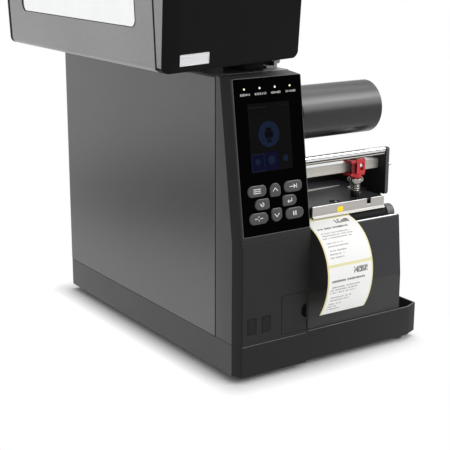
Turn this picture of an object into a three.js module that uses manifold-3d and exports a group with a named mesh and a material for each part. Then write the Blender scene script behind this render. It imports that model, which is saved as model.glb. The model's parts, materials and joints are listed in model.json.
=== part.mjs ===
// Desktop label printer with its media cover folded open over the electronics housing.
// Millimetres, +X to the right, +Y to the rear, +Z up. The sizes come first, the pieces follow.
import * as THREE from 'three';
import { mergeVertices } from 'three/addons/utils/BufferGeometryUtils.js';
import Module from 'manifold-3d';

const wasm = await Module();
wasm.setup();

// Clearances and facet counts that all pieces share
const fitGap = 0.3;
const shaftGap = 0.4;
const overrun = 1;
const roundSides = 32;
const smallSides = 16;
const cornerSteps = 4;
const beltSteps = 8;

// Base tray and feet
const trayWidth = 256;
const trayDepth = 385.4;
const trayHeight = 34.6;
const trayWall = 2.1;
const trayFloor = 3;
const traySetback = 3.2;
const trayCornerWidth = 17;
const trayCornerDepth = 7;
const footHeight = 6;
const footRadius = 11;
const footInset = 22;

// Electronics housing
const housingTop = 312;
const columnWidth = 91.5;
const columnDepth = 42.1;
const sheetWall = 1.6;
const sheetEdge = 2;
const centerWallThickness = 2.6;

// Front column
const creaseHeight = 143.3;
const slopeAngle = THREE.MathUtils.degToRad(7.9);
const columnCornerWidth = 4.5;
const columnCornerDepth = 12;
const columnFrontWall = 5.3;
const columnWall = 2.5;
const columnTopDrop = 2.8;
const columnTopRound = 5;
const coverPlateDepth = 2.5;
const coverPlateLeft = 5.2;
const coverPlateRight = 89.5;

// Display panel on the slope, measured along it from the crease. Its pieces keep their share
// of the slope's length, which is one at the drawn length.
const slopeLength = (housingTop - columnTopDrop - creaseHeight) / Math.cos(slopeAngle);
const panelTopMargin = 0.0896;
const drawnPanelTop = 167.4;
const panelTop = slopeLength - panelTopMargin;
const faceShare = panelTop / drawnPanelTop;
const panelLeft = 7;
const panelRight = 90.8;
const drawnPanelBottom = 8.6;
const panelBottom = drawnPanelBottom * faceShare;
const panelThickness = 2;
const panelLedge = 5;
const screenLeft = 22.4;
const screenWidth = 52.5;
const drawnScreenBottom = 72.1;
const screenBottom = drawnScreenBottom * faceShare;
const drawnScreenHeight = 70;
const screenHeight = drawnScreenHeight * faceShare;
const screenSink = 0.2;
const moduleMargin = 3.5;
const moduleDepth = 5;

// Keys on the display panel
const keyCentreX = 49.5;
const drawnKeyCentreS = 39.8;
const keyCentreS = drawnKeyCentreS * faceShare;
const keyWide = 24;
const keySideMargin = 7.2;
const keyColumnPitch = (panelRight - panelLeft - keyWide) / 2 - keySideMargin;
const keyInnerPitch = 17.3;
const drawnKeyRowPitch = 14;
const keyRowPitch = drawnKeyRowPitch * faceShare;
const drawnKeyMiddlePitch = 12.9;
const keyMiddlePitch = drawnKeyMiddlePitch * faceShare;
const drawnKeyHigh = 13.2;
const keyHigh = drawnKeyHigh * faceShare;
const drawnKeyArrowWide = 14.3;
const keyArrowWide = drawnKeyArrowWide * faceShare;
const drawnKeyArrowHigh = 15.3;
const keyArrowHigh = drawnKeyArrowHigh * faceShare;
const keyShortWide = 18.8;
const drawnKeyShortHigh = 12.4;
const keyShortHigh = drawnKeyShortHigh * faceShare;
const keyRound = 4.5;
const drawnKeyArrowRound = 6.5;
const keyArrowRound = drawnKeyArrowRound * faceShare;
const keyProud = 0.8;
const keyBack = 4;

// Port covers and service door in the lower front
const portBottom = 46.4;
const portHeight = 17.2;
const portWidth = 10.2;
const portLefts = [12.2, 30.4];
const doorLeft = 55.5;
const doorWidth = 33.1;
const doorBottom = 38.4;
const doorHeight = 42.4;
const recessRise = 21.6;
const recessHeight = 16;
const recessWidth = 7.2;
const recessDepth = 1.4;
const socketMargin = 2;

// Front box below the label exit
const boxFront = 5.6;
const boxRight = 227;
const boxWall = 2.5;
const boxCrease = 76;
const boxTop = 143.5;
const boxTopFront = 12.2;
const boxDepth = 104;

// Platen, its bearing and drive
const platenRadius = 8;
const platenY = 26;
const platenZ = 145;
const platenShaftRadius = 4;
const sideMargin = 5;
const labelLeft = columnWidth + sideMargin;
const platenLeft = labelLeft;
const platenRight = 212;
const bearingLeft = 214;
const bearingRadius = 9;
const bearingDrop = 15;
const pulleyWidth = 8;
const pulleySetback = 13.5;
const pulleyLeft = columnWidth - pulleySetback;
const platenPulleyRadius = 14;
const motorPulleyRadius = 9;
const pulleyRim = 1.2;
const beltThickness = 1.5;
const motorY = 70;
const motorZ = 60;
const motorSize = 42;
const motorLength = 40;
const motorShaftRadius = 2.5;
const motorCorner = 4;
const tearBarWidth = 3;
const tearBarHeight = 4.7;
const tearBarInset = 4.5;
const tearBarLeft = columnWidth + tearBarInset;
const tearBarRight = 223;

// Label strip and label roll
const labelWidth = 61.5;
const labelThickness = 0.4;
const paperGap = 0.2;
const nipLead = 3;
const exitY = 14;
const exitDrop = 3.1;
const endY = -12;
const endZ = 55.6;
const upperReach = 40;
const upperFall = 10.3;
const lowerReach = 24;
const lowerRise = 36.4;
const stripSteps = 14;
const webLevelEnd = 125;
const rollFront = 215;
const rollRearGap = 30.4;
const rollRadius = (trayDepth - rollRearGap - rollFront) / 2;
const rollY = rollFront + rollRadius;
const coreRadius = 20;
const hangerZ = 177;
const hangerRadius = 8;
const hangerRight = 215;
const hangerFlange = 11;
const hangerFoot = 16;
const hangerPlate = 3;
const guideThickness = 3;
const guideHalfWidth = 18;
const guideBelow = 37;
const guideAbove = 23;

// Print mechanism
const mechanismRight = 219.3;
const armThickness = 2.5;
const endPlateThickness = 5;
const endPlateFront = 30;
const endPlateBottom = 166;
const endPlateTop = 217.6;
const endPlateTopRear = 194;
const endPlateRear = 119.5;
const endPlateKnee = 36;
const endPlateCorner = 1.5;
const backPlateBottom = 160;
const pivotY = 110.5;
const pivotZ = 180;
const pivotRadius = 4;
const pivotLength = 9;
const stubY = 33.5;
const stubZ = 198;
const stubRadius = 2;
const stubLength = 5;
const barFront = 42;
const barDepth = 12;
const barBottom = 192.5;
const barHeight = 11;
const guideBarY = 34;
const guideBarZ = 214.8;
const guideBarRadius = 3.3;
const headInset = 4.5;
const headLeft = columnWidth + headInset;
const headRight = 210.5;
const frontPlateSetback = 13.4;
const headFrontLeft = headLeft + frontPlateSetback;
const headTop = 165.4;
const headPlate = 2.5;
const headFront = 22.6;
const headRear = 60;
const headBlockMargin = 2;
const bracketInset = 2;
const headHoleX = 147;
const headHoleY = 30;
const headHoleRadius = 3.6;
const frontPlateThickness = 2;
const frontPlateRise = 0.3;
const frontPlateFold = 10.8;
const lipReach = 2.7;
const lipDrop = 2;
const notchLeft = 185.5;
const notchWidth = 5.6;
const notchDepth = 6.5;
const leverY = 92;
const leverZ = 186;
const leverHub = 7;
const leverWidth = 8;
const leverArm = 34;
const leverThickness = 5;
const leverPinRadius = 2.5;

// Pressure unit on the square bar
const unitLeft = 172;
const unitWidth = 19.5;
const unitFront = 32;
const unitFrontTop = 208.2;
const unitReach = 5.5;
const unitBottom = 187;
const unitWallTop = 2.9;
const unitGrooveWidth = 2.6;
const unitGrooveDepth = 1.6;
const stemY = 37;
const nutRadius = 8;
const nutThickness = 3.4;
const nutCollarRadius = 5.8;
const nutCollarHeight = 2.4;
const footTopRadius = 7;
const footBottomRadius = 5.2;
const footTall = 4.8;
const stemRadius = 2.5;
const springCoilRadius = 4.7;
const springWireRadius = 0.65;
const springTurns = 3.5;
const curlSteps = 8;
const wireSides = 5;

// Ribbon spindles and roll
const ribbonY = 61;
const ribbonZ = 261.5;
const ribbonRadius = 29;
const ribbonInset = 20.5;
const ribbonLeft = columnWidth + ribbonInset;
const ribbonRight = 215;
const spindleShaft = 5;
const spindleSetback = 11.5;
const spindleLeft = columnWidth - spindleSetback;
const spindleCore = 12.5;
const spindleFlange = 22;
const spindleFlangeInset = 7.5;
const spindleFlangeLeft = columnWidth + spindleFlangeInset;
const spindleFlangeWidth = 4;
const spindleRight = 213.5;
const rearSpindleY = 200;

// Rear panel, inlet, switch and ports
const rearPanelThickness = 1.5;
const rearPanelRight = 247.5;
const rearPanelCorner = 4;
const inletLeft = 20;
const inletWidth = 30;
const inletBottom = 46;
const inletHeight = 22;
const inletDepth = 20;
const inletWall = 2.5;
const inletFlange = 3;
const inletFlangeThickness = 2;
const bladeThickness = 2;
const bladeWidth = 4;
const bladeLength = 9;
const bladePitch = 7;
const switchLeft = 58;
const switchWidth = 14;
const switchTall = 22;
const switchDepth = 12;
const switchSwell = 1.6;
const portDepth = 18;
const portThick = 15;
const portRearHeights = [16, 30, 18];
const portRearBottom = 96;
const portRearGap = 10;
const bossX = 14;
const bossZ = 283;
const bossRadius = 12;
const bossHeight = 3;

// Boards behind the centre wall
const boardThickness = 1.6;
const boardStandoff = 4;
const boardFront = 100;
const boardBottom = 78;
const boardTop = 236;
const chipSize = 26;
const chipHeight = 3;
const supplyLeft = 8;
const supplyWidth = 50;
const supplyDepth = 150;
const supplyRearGap = 25.4;
const supplyFront = trayDepth - supplyRearGap - supplyDepth;
const supplyHeight = 38;

// Media cover, drawn closed
const coverGap = 0.7;
const coverRight = 250;
const coverBottom = 36;
const coverRound = 7;
const seamY = 40;
const capWall = 2.5;
const capCornerWidth = 16;
const capCornerDepth = 7;
const capTopFall = 6.5;
const capTopRun = 4.5;
const capHingeRound = 4;
const capLowerEdge = 160;
const capSlotGap = 2;
const shellRearGap = 4.4;
const shellRear = trayDepth - shellRearGap;
const rearCapDepth = 6.7;
const rearLip = 9;
const windowFront = 75;
const windowRearInset = 39;
const windowRear = shellRear - windowRearInset;
const windowTop = 271;
const windowBottom = 130;
const windowRound = 8;
const windowSink = 0.2;
const windowThickness = 2;

// Hinge and stop
const hingeInset = 1.5;
const hingeX = columnWidth - hingeInset;
const hingeZ = 318.9;
const openAngle = THREE.MathUtils.degToRad(182.5);
const hingeFront = 60;
const knuckleCount = 7;
const hingeRearGap = 13.9;
const knuckleLength = (trayDepth - hingeRearGap - hingeFront) / knuckleCount;
const knuckleRadius = 2.75;
const hingePinRadius = 1.2;
const leafNear = 5;
const leafFar = 15;
const leafThickness = 2;
const leafWebInner = 1.2;
const stopWidth = 26;
const stopInset = 3;
const stopLeft = hingeX - leafFar - stopInset - stopWidth;
const stopDepth = 40;
const stopHeight = 11.2;

// Finishes
const finish = (color, roughness, metalness) =>
  new THREE.MeshStandardMaterial({ color, roughness, metalness });
const housingPaint = finish(0x4e4f52, 0.45, 0.4);
const coverPaint = finish(0x77787b, 0.4, 0.4);
const darkPlastic = finish(0x2b2b2d, 0.6, 0);
const blackPlastic = finish(0x111112, 0.5, 0);
const glossPanel = finish(0x050506, 0.08, 0);
const screenGlass = finish(0x0b1230, 0.1, 0);
const keyPlastic = finish(0x5d5e60, 0.5, 0);
const rubber = finish(0x161616, 0.85, 0);
const steel = finish(0xb9bbbd, 0.35, 1);
const polishedSteel = finish(0xe3e4e6, 0.15, 1);
const blackSteel = finish(0x1b1b1c, 0.5, 0.6);
const redPlastic = finish(0xb3202c, 0.45, 0);
const paper = finish(0xf1efe6, 0.8, 0);
const ribbonFilm = finish(0x2f2f34, 0.35, 0.3);
const boardGreen = finish(0x1f5a3a, 0.6, 0);
const clearPlastic = finish(0xe9eef0, 0.1, 0);

// Height of the floor of the front slope, and the face's place at a height
const slopeRun = Math.tan(slopeAngle);
const faceAt = (z) => Math.max(0, z - creaseHeight) * slopeRun;

// Outline coordinates follow the axis that they are pushed along, in the order x, y, z, x
const axisTurns = {
  x: new THREE.Matrix4().makeBasis(
    new THREE.Vector3(0, 1, 0), new THREE.Vector3(0, 0, 1), new THREE.Vector3(1, 0, 0)),
  y: new THREE.Matrix4().makeBasis(
    new THREE.Vector3(0, 0, 1), new THREE.Vector3(1, 0, 0), new THREE.Vector3(0, 1, 0)),
  z: new THREE.Matrix4(),
};

// An outline, given as points or as a shape, pushed along an axis from one place to another
function prism(axis, outline, from, to, curveSegments = cornerSteps) {
  const shape = Array.isArray(outline)
    ? new THREE.Shape(outline.map(([u, v]) => new THREE.Vector2(u, v)))
    : outline;
  const geometry = new THREE.ExtrudeGeometry(shape, {
    depth: to - from, bevelEnabled: false, curveSegments, steps: 1,
  });
  return geometry.translate(0, 0, from).applyMatrix4(axisTurns[axis]);
}

// A round rod or cone along an axis, centred at the outline place (u, v)
function rod(axis, u, v, radius, from, to, sides = roundSides, endRadius = radius) {
  const geometry = new THREE.CylinderGeometry(endRadius, radius, to - from, sides);
  geometry.rotateX(Math.PI / 2).translate(u, v, (from + to) / 2);
  return geometry.applyMatrix4(axisTurns[axis]);
}

// A box between two places on each axis
function block(left, right, front, rear, bottom, top) {
  const geometry = new THREE.BoxGeometry(right - left, rear - front, top - bottom);
  return geometry.translate((left + right) / 2, (front + rear) / 2, (bottom + top) / 2);
}

// A rectangle with round corners
function roundedOutline(left, right, bottom, top, radius) {
  const shape = new THREE.Shape();
  const quarter = Math.PI / 2;
  shape.absarc(right - radius, top - radius, radius, 0, quarter);
  shape.absarc(left + radius, top - radius, radius, quarter, 2 * quarter);
  shape.absarc(left + radius, bottom + radius, radius, 2 * quarter, 3 * quarter);
  shape.absarc(right - radius, bottom + radius, radius, 3 * quarter, 4 * quarter);
  return shape;
}

// A closed outline with each side moved inwards by a distance; points run anticlockwise
function inset(points, distance) {
  const sides = points.map(([x, y], i) => {
    const [nextX, nextY] = points[(i + 1) % points.length];
    const length = Math.hypot(nextX - x, nextY - y);
    const along = [(nextX - x) / length, (nextY - y) / length];
    return { along, at: [x - along[1] * distance, y + along[0] * distance] };
  });
  return sides.map((side, i) => {
    const before = sides[(i + sides.length - 1) % sides.length];
    const cross = before.along[0] * side.along[1] - before.along[1] * side.along[0];
    const offset = [side.at[0] - before.at[0], side.at[1] - before.at[1]];
    const reach = (offset[0] * side.along[1] - offset[1] * side.along[0]) / cross;
    return [before.at[0] + before.along[0] * reach, before.at[1] + before.along[1] * reach];
  });
}

// A closed geometry as a solid that can be joined and cut
function solid(geometry) {
  if (geometry instanceof wasm.Manifold) return geometry;
  const bare = geometry.clone();
  bare.deleteAttribute('normal');
  bare.deleteAttribute('uv');
  const merged = mergeVertices(bare);
  return new wasm.Manifold(new wasm.Mesh({
    numProp: 3,
    vertProperties: new Float32Array(merged.attributes.position.array),
    triVerts: new Uint32Array(merged.index.array),
  }));
}

const join = (first, ...others) =>
  others.reduce((body, other) => body.add(solid(other)), solid(first));
const cut = (first, ...tools) =>
  tools.reduce((body, tool) => body.subtract(solid(tool)), solid(first));
const common = (first, ...others) =>
  others.reduce((body, other) => body.intersect(solid(other)), solid(first));

// A named piece from a geometry or a solid
function piece(name, shape, material) {
  let geometry = shape;
  if (shape instanceof wasm.Manifold) {
    const mesh = shape.getMesh();
    geometry = new THREE.BufferGeometry();
    geometry.setAttribute('position', new THREE.BufferAttribute(mesh.vertProperties, 3));
    geometry.setIndex(new THREE.BufferAttribute(mesh.triVerts, 1));
    geometry.computeVertexNormals();
  }
  const result = new THREE.Mesh(geometry, material);
  result.name = name;
  return result;
}

// A corner wedge in plan that follows the front slope, with legs along X and Y
function cornerWedge(cornerX, side, width, depth, bottom, top, skin = 0) {
  const grow = 1 + (skin * Math.hypot(width, depth)) / (width * depth);
  const legX = width * grow;
  const legY = depth * grow;
  const spare = 1;
  const outline = [
    [cornerX + side * legX * (1 + spare), -legY * spare],
    [cornerX - side * legX * spare, legY * (1 + spare)],
    [cornerX - side * legX * spare, -legY * spare],
  ];
  const lower = prism('z', outline, bottom, creaseHeight);
  const lean = new THREE.Matrix4().makeShear(0, 0, 0, 0, 0, slopeRun);
  const upper = prism('z', outline, 0, top - creaseHeight).applyMatrix4(lean);
  return join(lower, upper.translate(0, 0, creaseHeight));
}

// A side profile of something that follows the front slope, from one height to another
function slopeProfile(front, rear, bottom, top) {
  return [
    [front, bottom], [rear, bottom], [rear, top],
    [faceAt(top) + front, top], [front, creaseHeight],
  ];
}

const printer = new THREE.Group();

// Base tray, an open tub whose rim the closed cover drops behind
const trayDivider = coverPlateRight;
const trayOutline = [
  [0, columnCornerDepth], [columnCornerWidth, 0], [trayDivider, 0], [trayDivider, traySetback],
  [trayWidth - trayCornerWidth, traySetback], [trayWidth, traySetback + trayCornerDepth],
  [trayWidth, trayDepth], [0, trayDepth],
];
function makeTray() {
  const body = prism('z', trayOutline, 0, trayHeight);
  const pocket = prism('z', inset(trayOutline, trayWall), trayFloor, trayHeight + overrun);
  printer.add(piece('base_tray', cut(body, pocket), darkPlastic));

  const places = {
    front_left: [footInset, footInset],
    front_right: [trayWidth - footInset, footInset],
    rear_left: [footInset, trayDepth - footInset],
    rear_right: [trayWidth - footInset, trayDepth - footInset],
  };
  for (const [where, [x, y]] of Object.entries(places)) {
    const foot = rod('z', x, y, footRadius, -footHeight, -fitGap, smallSides);
    printer.add(piece(`foot_${where}`, foot, rubber));
  }
}

// Painted sheet over the left side and the roof, and the wall between the two halves
const rimTop = trayHeight + fitGap;
const floorTop = trayFloor + fitGap;
const sheetFront = columnDepth + fitGap;
const roofUnderside = housingTop - sheetWall;
const wallLeft = columnWidth - centerWallThickness;
const rearPanelRear = trayDepth - trayWall - fitGap;
const rearPanelFront = rearPanelRear - rearPanelThickness;
function makeHousing() {
  const sheet = [
    [rimTop, 0], [housingTop - sheetEdge, 0], [housingTop, sheetEdge], [housingTop, columnWidth],
    [roofUnderside, columnWidth], [roofUnderside, sheetWall + sheetEdge],
    [roofUnderside - sheetEdge, sheetWall], [rimTop, sheetWall],
  ];
  printer.add(piece('electronics_cover', prism('y', sheet, sheetFront, trayDepth), housingPaint));

  const wall = cut(
    block(wallLeft, columnWidth, sheetFront, rearPanelFront - fitGap, floorTop,
      roofUnderside - fitGap),
    ...[ribbonY, rearSpindleY].map((y) =>
      rod('x', y, ribbonZ, spindleShaft + shaftGap, wallLeft - overrun, columnWidth + overrun)),
    rod('x', motorY, motorZ, motorShaftRadius + shaftGap, wallLeft - overrun,
      columnWidth + overrun));
  const pin = rod('x', pivotY, pivotZ, pivotRadius, wallLeft, columnWidth + pivotLength);
  printer.add(piece('center_wall', join(wall, pin), steel));
}

// Rear panel with its inlet, switch and ports
function makeRear() {
  const portRight = wallLeft - boardStandoff;
  const portLeft = portRight - portThick;
  const rear = rearPanelRear + overrun;
  const hole = (left, right, bottom, top) =>
    block(left - fitGap, right + fitGap, rearPanelFront - overrun, rear, bottom - fitGap,
      top + fitGap);
  const portPlaces = [];
  let bottom = portRearBottom;
  for (const height of portRearHeights) {
    portPlaces.push([bottom, bottom + height]);
    bottom += height + portRearGap;
  }
  const panelLow = trayWall + fitGap;
  const panelHigh = roofUnderside - fitGap;
  const sheet = prism('y', [
    [floorTop, panelLow], [panelHigh - sheetEdge, panelLow], [panelHigh, panelLow + sheetEdge],
    [panelHigh, rearPanelRight - rearPanelCorner], [panelHigh - rearPanelCorner, rearPanelRight],
    [floorTop, rearPanelRight],
  ], rearPanelFront, rearPanelRear);
  const boss = rod('y', bossZ, bossX, bossRadius, rearPanelFront, rearPanelRear + bossHeight);
  printer.add(piece('rear_panel', join(cut(sheet,
    hole(inletLeft, inletLeft + inletWidth, inletBottom, inletBottom + inletHeight),
    hole(switchLeft, switchLeft + switchWidth, inletBottom, inletBottom + switchTall),
    ...portPlaces.map(([low, high]) => hole(portLeft, portRight, low, high))), boss),
  blackSteel));

  const faceRear = rearPanelRear + fitGap + inletFlangeThickness;
  const socket = cut(
    join(
      block(inletLeft, inletLeft + inletWidth, faceRear - inletDepth, faceRear, inletBottom,
        inletBottom + inletHeight),
      block(inletLeft - inletFlange, inletLeft + inletWidth + inletFlange,
        faceRear - inletFlangeThickness, faceRear, inletBottom - inletFlange,
        inletBottom + inletHeight + inletFlange)),
    block(inletLeft + inletWall, inletLeft + inletWidth - inletWall,
      faceRear - inletDepth + inletWall, faceRear + overrun, inletBottom + inletWall,
      inletBottom + inletHeight - inletWall));
  const bladeFoot = faceRear - inletDepth;
  const blades = [-1, 0, 1].map((step) => {
    const x = inletLeft + inletWidth / 2 + step * bladePitch;
    const z = inletBottom + inletHeight / 2;
    return block(x - bladeThickness / 2, x + bladeThickness / 2, bladeFoot,
      bladeFoot + inletWall + bladeLength, z - bladeWidth / 2, z + bladeWidth / 2);
  });
  printer.add(piece('power_inlet', join(socket, ...blades), blackPlastic));

  const rocker = [
    [inletBottom, rearPanelRear - switchDepth], [inletBottom + switchTall, rearPanelRear - switchDepth],
    [inletBottom + switchTall, rearPanelRear + switchSwell],
    [inletBottom + switchTall / 2, rearPanelRear], [inletBottom, rearPanelRear + switchSwell],
  ].map(([z, y]) => [y, z]);
  printer.add(piece('power_switch',
    prism('x', rocker, switchLeft, switchLeft + switchWidth), blackPlastic));

  const boardRight = portRight;
  const boardRear = rearPanelRear;
  const chipY = (boardFront + boardRear) / 2;
  const chipZ = (boardBottom + boardTop) / 2;
  const standoffs = [[boardFront, boardBottom], [boardFront, boardTop],
    [chipY, boardBottom], [chipY, boardTop]];
  const board = join(
    block(boardRight - boardThickness, boardRight, boardFront - chipHeight,
      boardRear - portDepth, boardBottom - chipHeight, boardTop + chipHeight),
    block(boardRight - boardThickness - chipHeight, boardRight, chipY - chipSize / 2,
      chipY + chipSize / 2, chipZ - chipSize / 2, chipZ + chipSize / 2),
    ...portPlaces.map(([low, high]) =>
      block(portLeft, portRight, boardRear - portDepth - overrun, boardRear, low, high)),
    ...standoffs.map(([y, z]) => rod('x', y, z, chipHeight, boardRight - boardThickness,
      wallLeft - fitGap, smallSides)));
  printer.add(piece('main_board', board, boardGreen));

  printer.add(piece('power_supply', block(supplyLeft, supplyLeft + supplyWidth, supplyFront,
    supplyFront + supplyDepth, floorTop, floorTop + supplyHeight), steel));
}

// Front column, drawn in the machine's frame
const columnTopFront = housingTop - columnTopDrop;
function makeColumn() {
  const outer = [
    [0, rimTop], [columnDepth, rimTop], [columnDepth, housingTop],
    [faceAt(columnTopFront), columnTopFront], [0, creaseHeight],
  ];
  const cavity = slopeProfile(columnFrontWall, columnDepth + overrun, rimTop - overrun,
    columnTopFront - columnWall);
  const wedgeTop = housingTop + overrun;
  const wedge = (skin) => cornerWedge(0, 1, columnCornerWidth, columnCornerDepth,
    rimTop - overrun, wedgeTop, skin);
  const hollow = cut(prism('x', cavity, columnWall, columnWidth - columnWall),
    wedge(columnWall));
  const plateRecess = block(coverPlateLeft - fitGap, coverPlateRight + fitGap, -overrun,
    coverPlateDepth + fitGap, rimTop - overrun, creaseHeight - fitGap);
  const onSlope = (geometry) => geometry.rotateX(-slopeAngle).translate(0, 0, creaseHeight);
  const panelPocket = onSlope(block(panelLeft - fitGap, columnWidth + overrun, -overrun,
    panelThickness + fitGap, panelBottom - fitGap, panelTop + fitGap));
  const panelWindow = onSlope(block(panelLeft + panelLedge, panelRight - panelLedge, 0,
    columnFrontWall * 2, panelBottom + panelLedge, panelTop - panelLedge));
  const roundX = columnWidth - columnTopRound;
  const roundZ = housingTop - columnTopRound;
  const topRound = cut(
    block(roundX, columnWidth + overrun, -overrun, columnDepth + overrun, roundZ,
      housingTop + overrun),
    rod('y', roundZ, roundX, columnTopRound, -2 * overrun, columnDepth + 2 * overrun));
  const shaftHole = rod('x', platenY, platenZ, platenShaftRadius + shaftGap,
    columnWidth - columnWall - overrun, columnWidth + overrun);
  const wallHole = (left, width, bottom, height) => block(left + socketMargin,
    left + width - socketMargin, -overrun, columnFrontWall + overrun, bottom + socketMargin,
    bottom + height - socketMargin);
  const sockets = portLefts.map((left) => wallHole(left, portWidth, portBottom, portHeight));
  const serviceHole = wallHole(doorLeft, doorWidth, doorBottom, doorHeight);
  const body = cut(prism('x', outer, 0, columnWidth), wedge(0), hollow, plateRecess,
    panelPocket, panelWindow, topRound, shaftHole, ...sockets, serviceHole);
  printer.add(piece('front_bezel', body, darkPlastic));
}

// Display panel with its screen and keys, drawn upright on the crease and leaned back
const keys = [
  ['menu', -keyColumnPitch, keyRowPitch, keyWide, keyHigh, 'wide'],
  ['up', 0, keyMiddlePitch, keyArrowWide, keyArrowHigh, 'arrow'],
  ['feed', keyColumnPitch, keyRowPitch, keyWide, keyHigh, 'wide'],
  ['back', -keyInnerPitch, 0, keyShortWide, keyShortHigh, 'wide'],
  ['enter', keyInnerPitch, 0, keyShortWide, keyShortHigh, 'wide'],
  ['calibrate', -keyColumnPitch, -keyRowPitch, keyWide, keyHigh, 'wide'],
  ['down', 0, -keyMiddlePitch, keyArrowWide, keyArrowHigh, 'arrow'],
  ['pause', keyColumnPitch, -keyRowPitch, keyWide, keyHigh, 'wide'],
];
function keyOutline([, x, s, width, height, kind], grow) {
  const round = kind === 'arrow' ? keyArrowRound : keyRound;
  const outline = roundedOutline(
    keyCentreS + s - height / 2 - grow, keyCentreS + s + height / 2 + grow,
    keyCentreX + x - width / 2 - grow, keyCentreX + x + width / 2 + grow,
    round + grow);
  return outline;
}
function makeDisplay() {
  const face = new THREE.Group();
  face.position.z = creaseHeight;
  face.rotation.x = -slopeAngle;
  const screenRight = screenLeft + screenWidth;
  const screenTop = screenBottom + screenHeight;
  const panel = cut(
    block(panelLeft, panelRight, 0, panelThickness, panelBottom, panelTop),
    block(screenLeft, screenRight, -overrun, panelThickness + overrun, screenBottom, screenTop),
    ...keys.map((key) => prism('y', keyOutline(key, fitGap), -overrun,
      panelThickness + overrun)));
  face.add(piece('display_panel', panel, glossPanel));

  const moduleFront = panelThickness + fitGap;
  const screen = join(
    block(screenLeft + fitGap, screenRight - fitGap, screenSink, moduleFront + screenSink,
      screenBottom + fitGap, screenTop - fitGap),
    block(screenLeft - moduleMargin, screenRight + moduleMargin, moduleFront,
      moduleFront + moduleDepth, screenBottom - moduleMargin, screenTop + moduleMargin));
  face.add(piece('display_screen', screen, screenGlass));

  for (const key of keys) {
    const body = prism('y', keyOutline(key, 0), -keyProud, keyBack);
    face.add(piece(`key_${key[0]}`, body, keyPlastic));
  }
  printer.add(face);
}

// Lower front cover with two port covers and a service door
function makeLowerFront() {
  const plateTop = creaseHeight - 2 * fitGap;
  const holes = portLefts.map((left) => block(left - fitGap, left + portWidth + fitGap,
    -overrun, coverPlateDepth + overrun, portBottom - fitGap,
    portBottom + portHeight + fitGap));
  const doorRight = doorLeft + doorWidth;
  const doorTop = doorBottom + doorHeight;
  const doorHole = block(doorLeft - fitGap, coverPlateRight + overrun, -overrun,
    coverPlateDepth + overrun, doorBottom - fitGap, doorTop + fitGap);
  const plate = block(coverPlateLeft, coverPlateRight, 0, coverPlateDepth, rimTop, plateTop);
  printer.add(piece('lower_front_cover', cut(plate, ...holes, doorHole), darkPlastic));

  portLefts.forEach((left, index) => {
    const flap = prism('y',
      roundedOutline(portBottom, portBottom + portHeight, left, left + portWidth, overrun),
      0, coverPlateDepth);
    printer.add(piece(`port_cover_${index + 1}`, flap, rubber));
  });

  const recessZ = doorBottom + recessRise;
  const recess = new THREE.Shape();
  recess.absellipse(recessZ, doorRight, recessHeight / 2, recessWidth, 0, 2 * Math.PI);
  const scoop = prism('y', recess, -overrun, recessDepth, beltSteps);
  const door = block(doorLeft, doorRight, 0, coverPlateDepth, doorBottom, doorTop);
  printer.add(piece('service_door', cut(door, scoop), darkPlastic));
}

// Front box under the label exit, with the tear bar on its front edge
const boxLeft = columnWidth + fitGap;
const boxInnerRight = boxRight - boxWall;
function makeFrontBox() {
  const rear = boxFront + boxDepth;
  const outer = [
    [boxFront, floorTop], [rear, floorTop], [rear, boxTop], [boxTopFront, boxTop],
    [boxFront, boxCrease],
  ];
  const inner = [
    [boxFront + boxWall, floorTop - overrun], [rear - boxWall, floorTop - overrun],
    [rear - boxWall, boxTop + overrun], [boxTopFront + boxWall, boxTop + overrun],
    [boxTopFront + boxWall, boxTop], [boxFront + boxWall, boxCrease],
  ];
  const body = cut(prism('x', outer, boxLeft, boxRight),
    prism('x', inner, boxLeft - overrun, boxInnerRight));
  printer.add(piece('front_box', body, darkPlastic));

  const tearBottom = boxTop + fitGap;
  const tearTop = tearBottom + tearBarHeight;
  const tearFront = boxTopFront + fitGap;
  const tearOutline = [
    [tearFront, tearBottom], [tearFront + tearBarWidth, tearBottom],
    [tearFront + tearBarWidth, tearTop - tearBarWidth / 4],
    [tearFront + tearBarWidth / 2, tearTop], [tearFront, tearTop - tearBarWidth / 4],
  ];
  printer.add(piece('tear_bar', prism('x', tearOutline, tearBarLeft, tearBarRight), steel));
}

// Outline round two wheels, each given as [y, z, radius]
function loopOutline([y1, z1, r1], [y2, z2, r2]) {
  const heading = Math.atan2(z2 - z1, y2 - y1);
  const swing = Math.acos((r1 - r2) / Math.hypot(y2 - y1, z2 - z1));
  const shape = new THREE.Shape();
  shape.absarc(y1, z1, r1, heading + swing, heading + 2 * Math.PI - swing);
  shape.absarc(y2, z2, r2, heading - swing, heading + swing);
  return shape;
}

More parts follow.
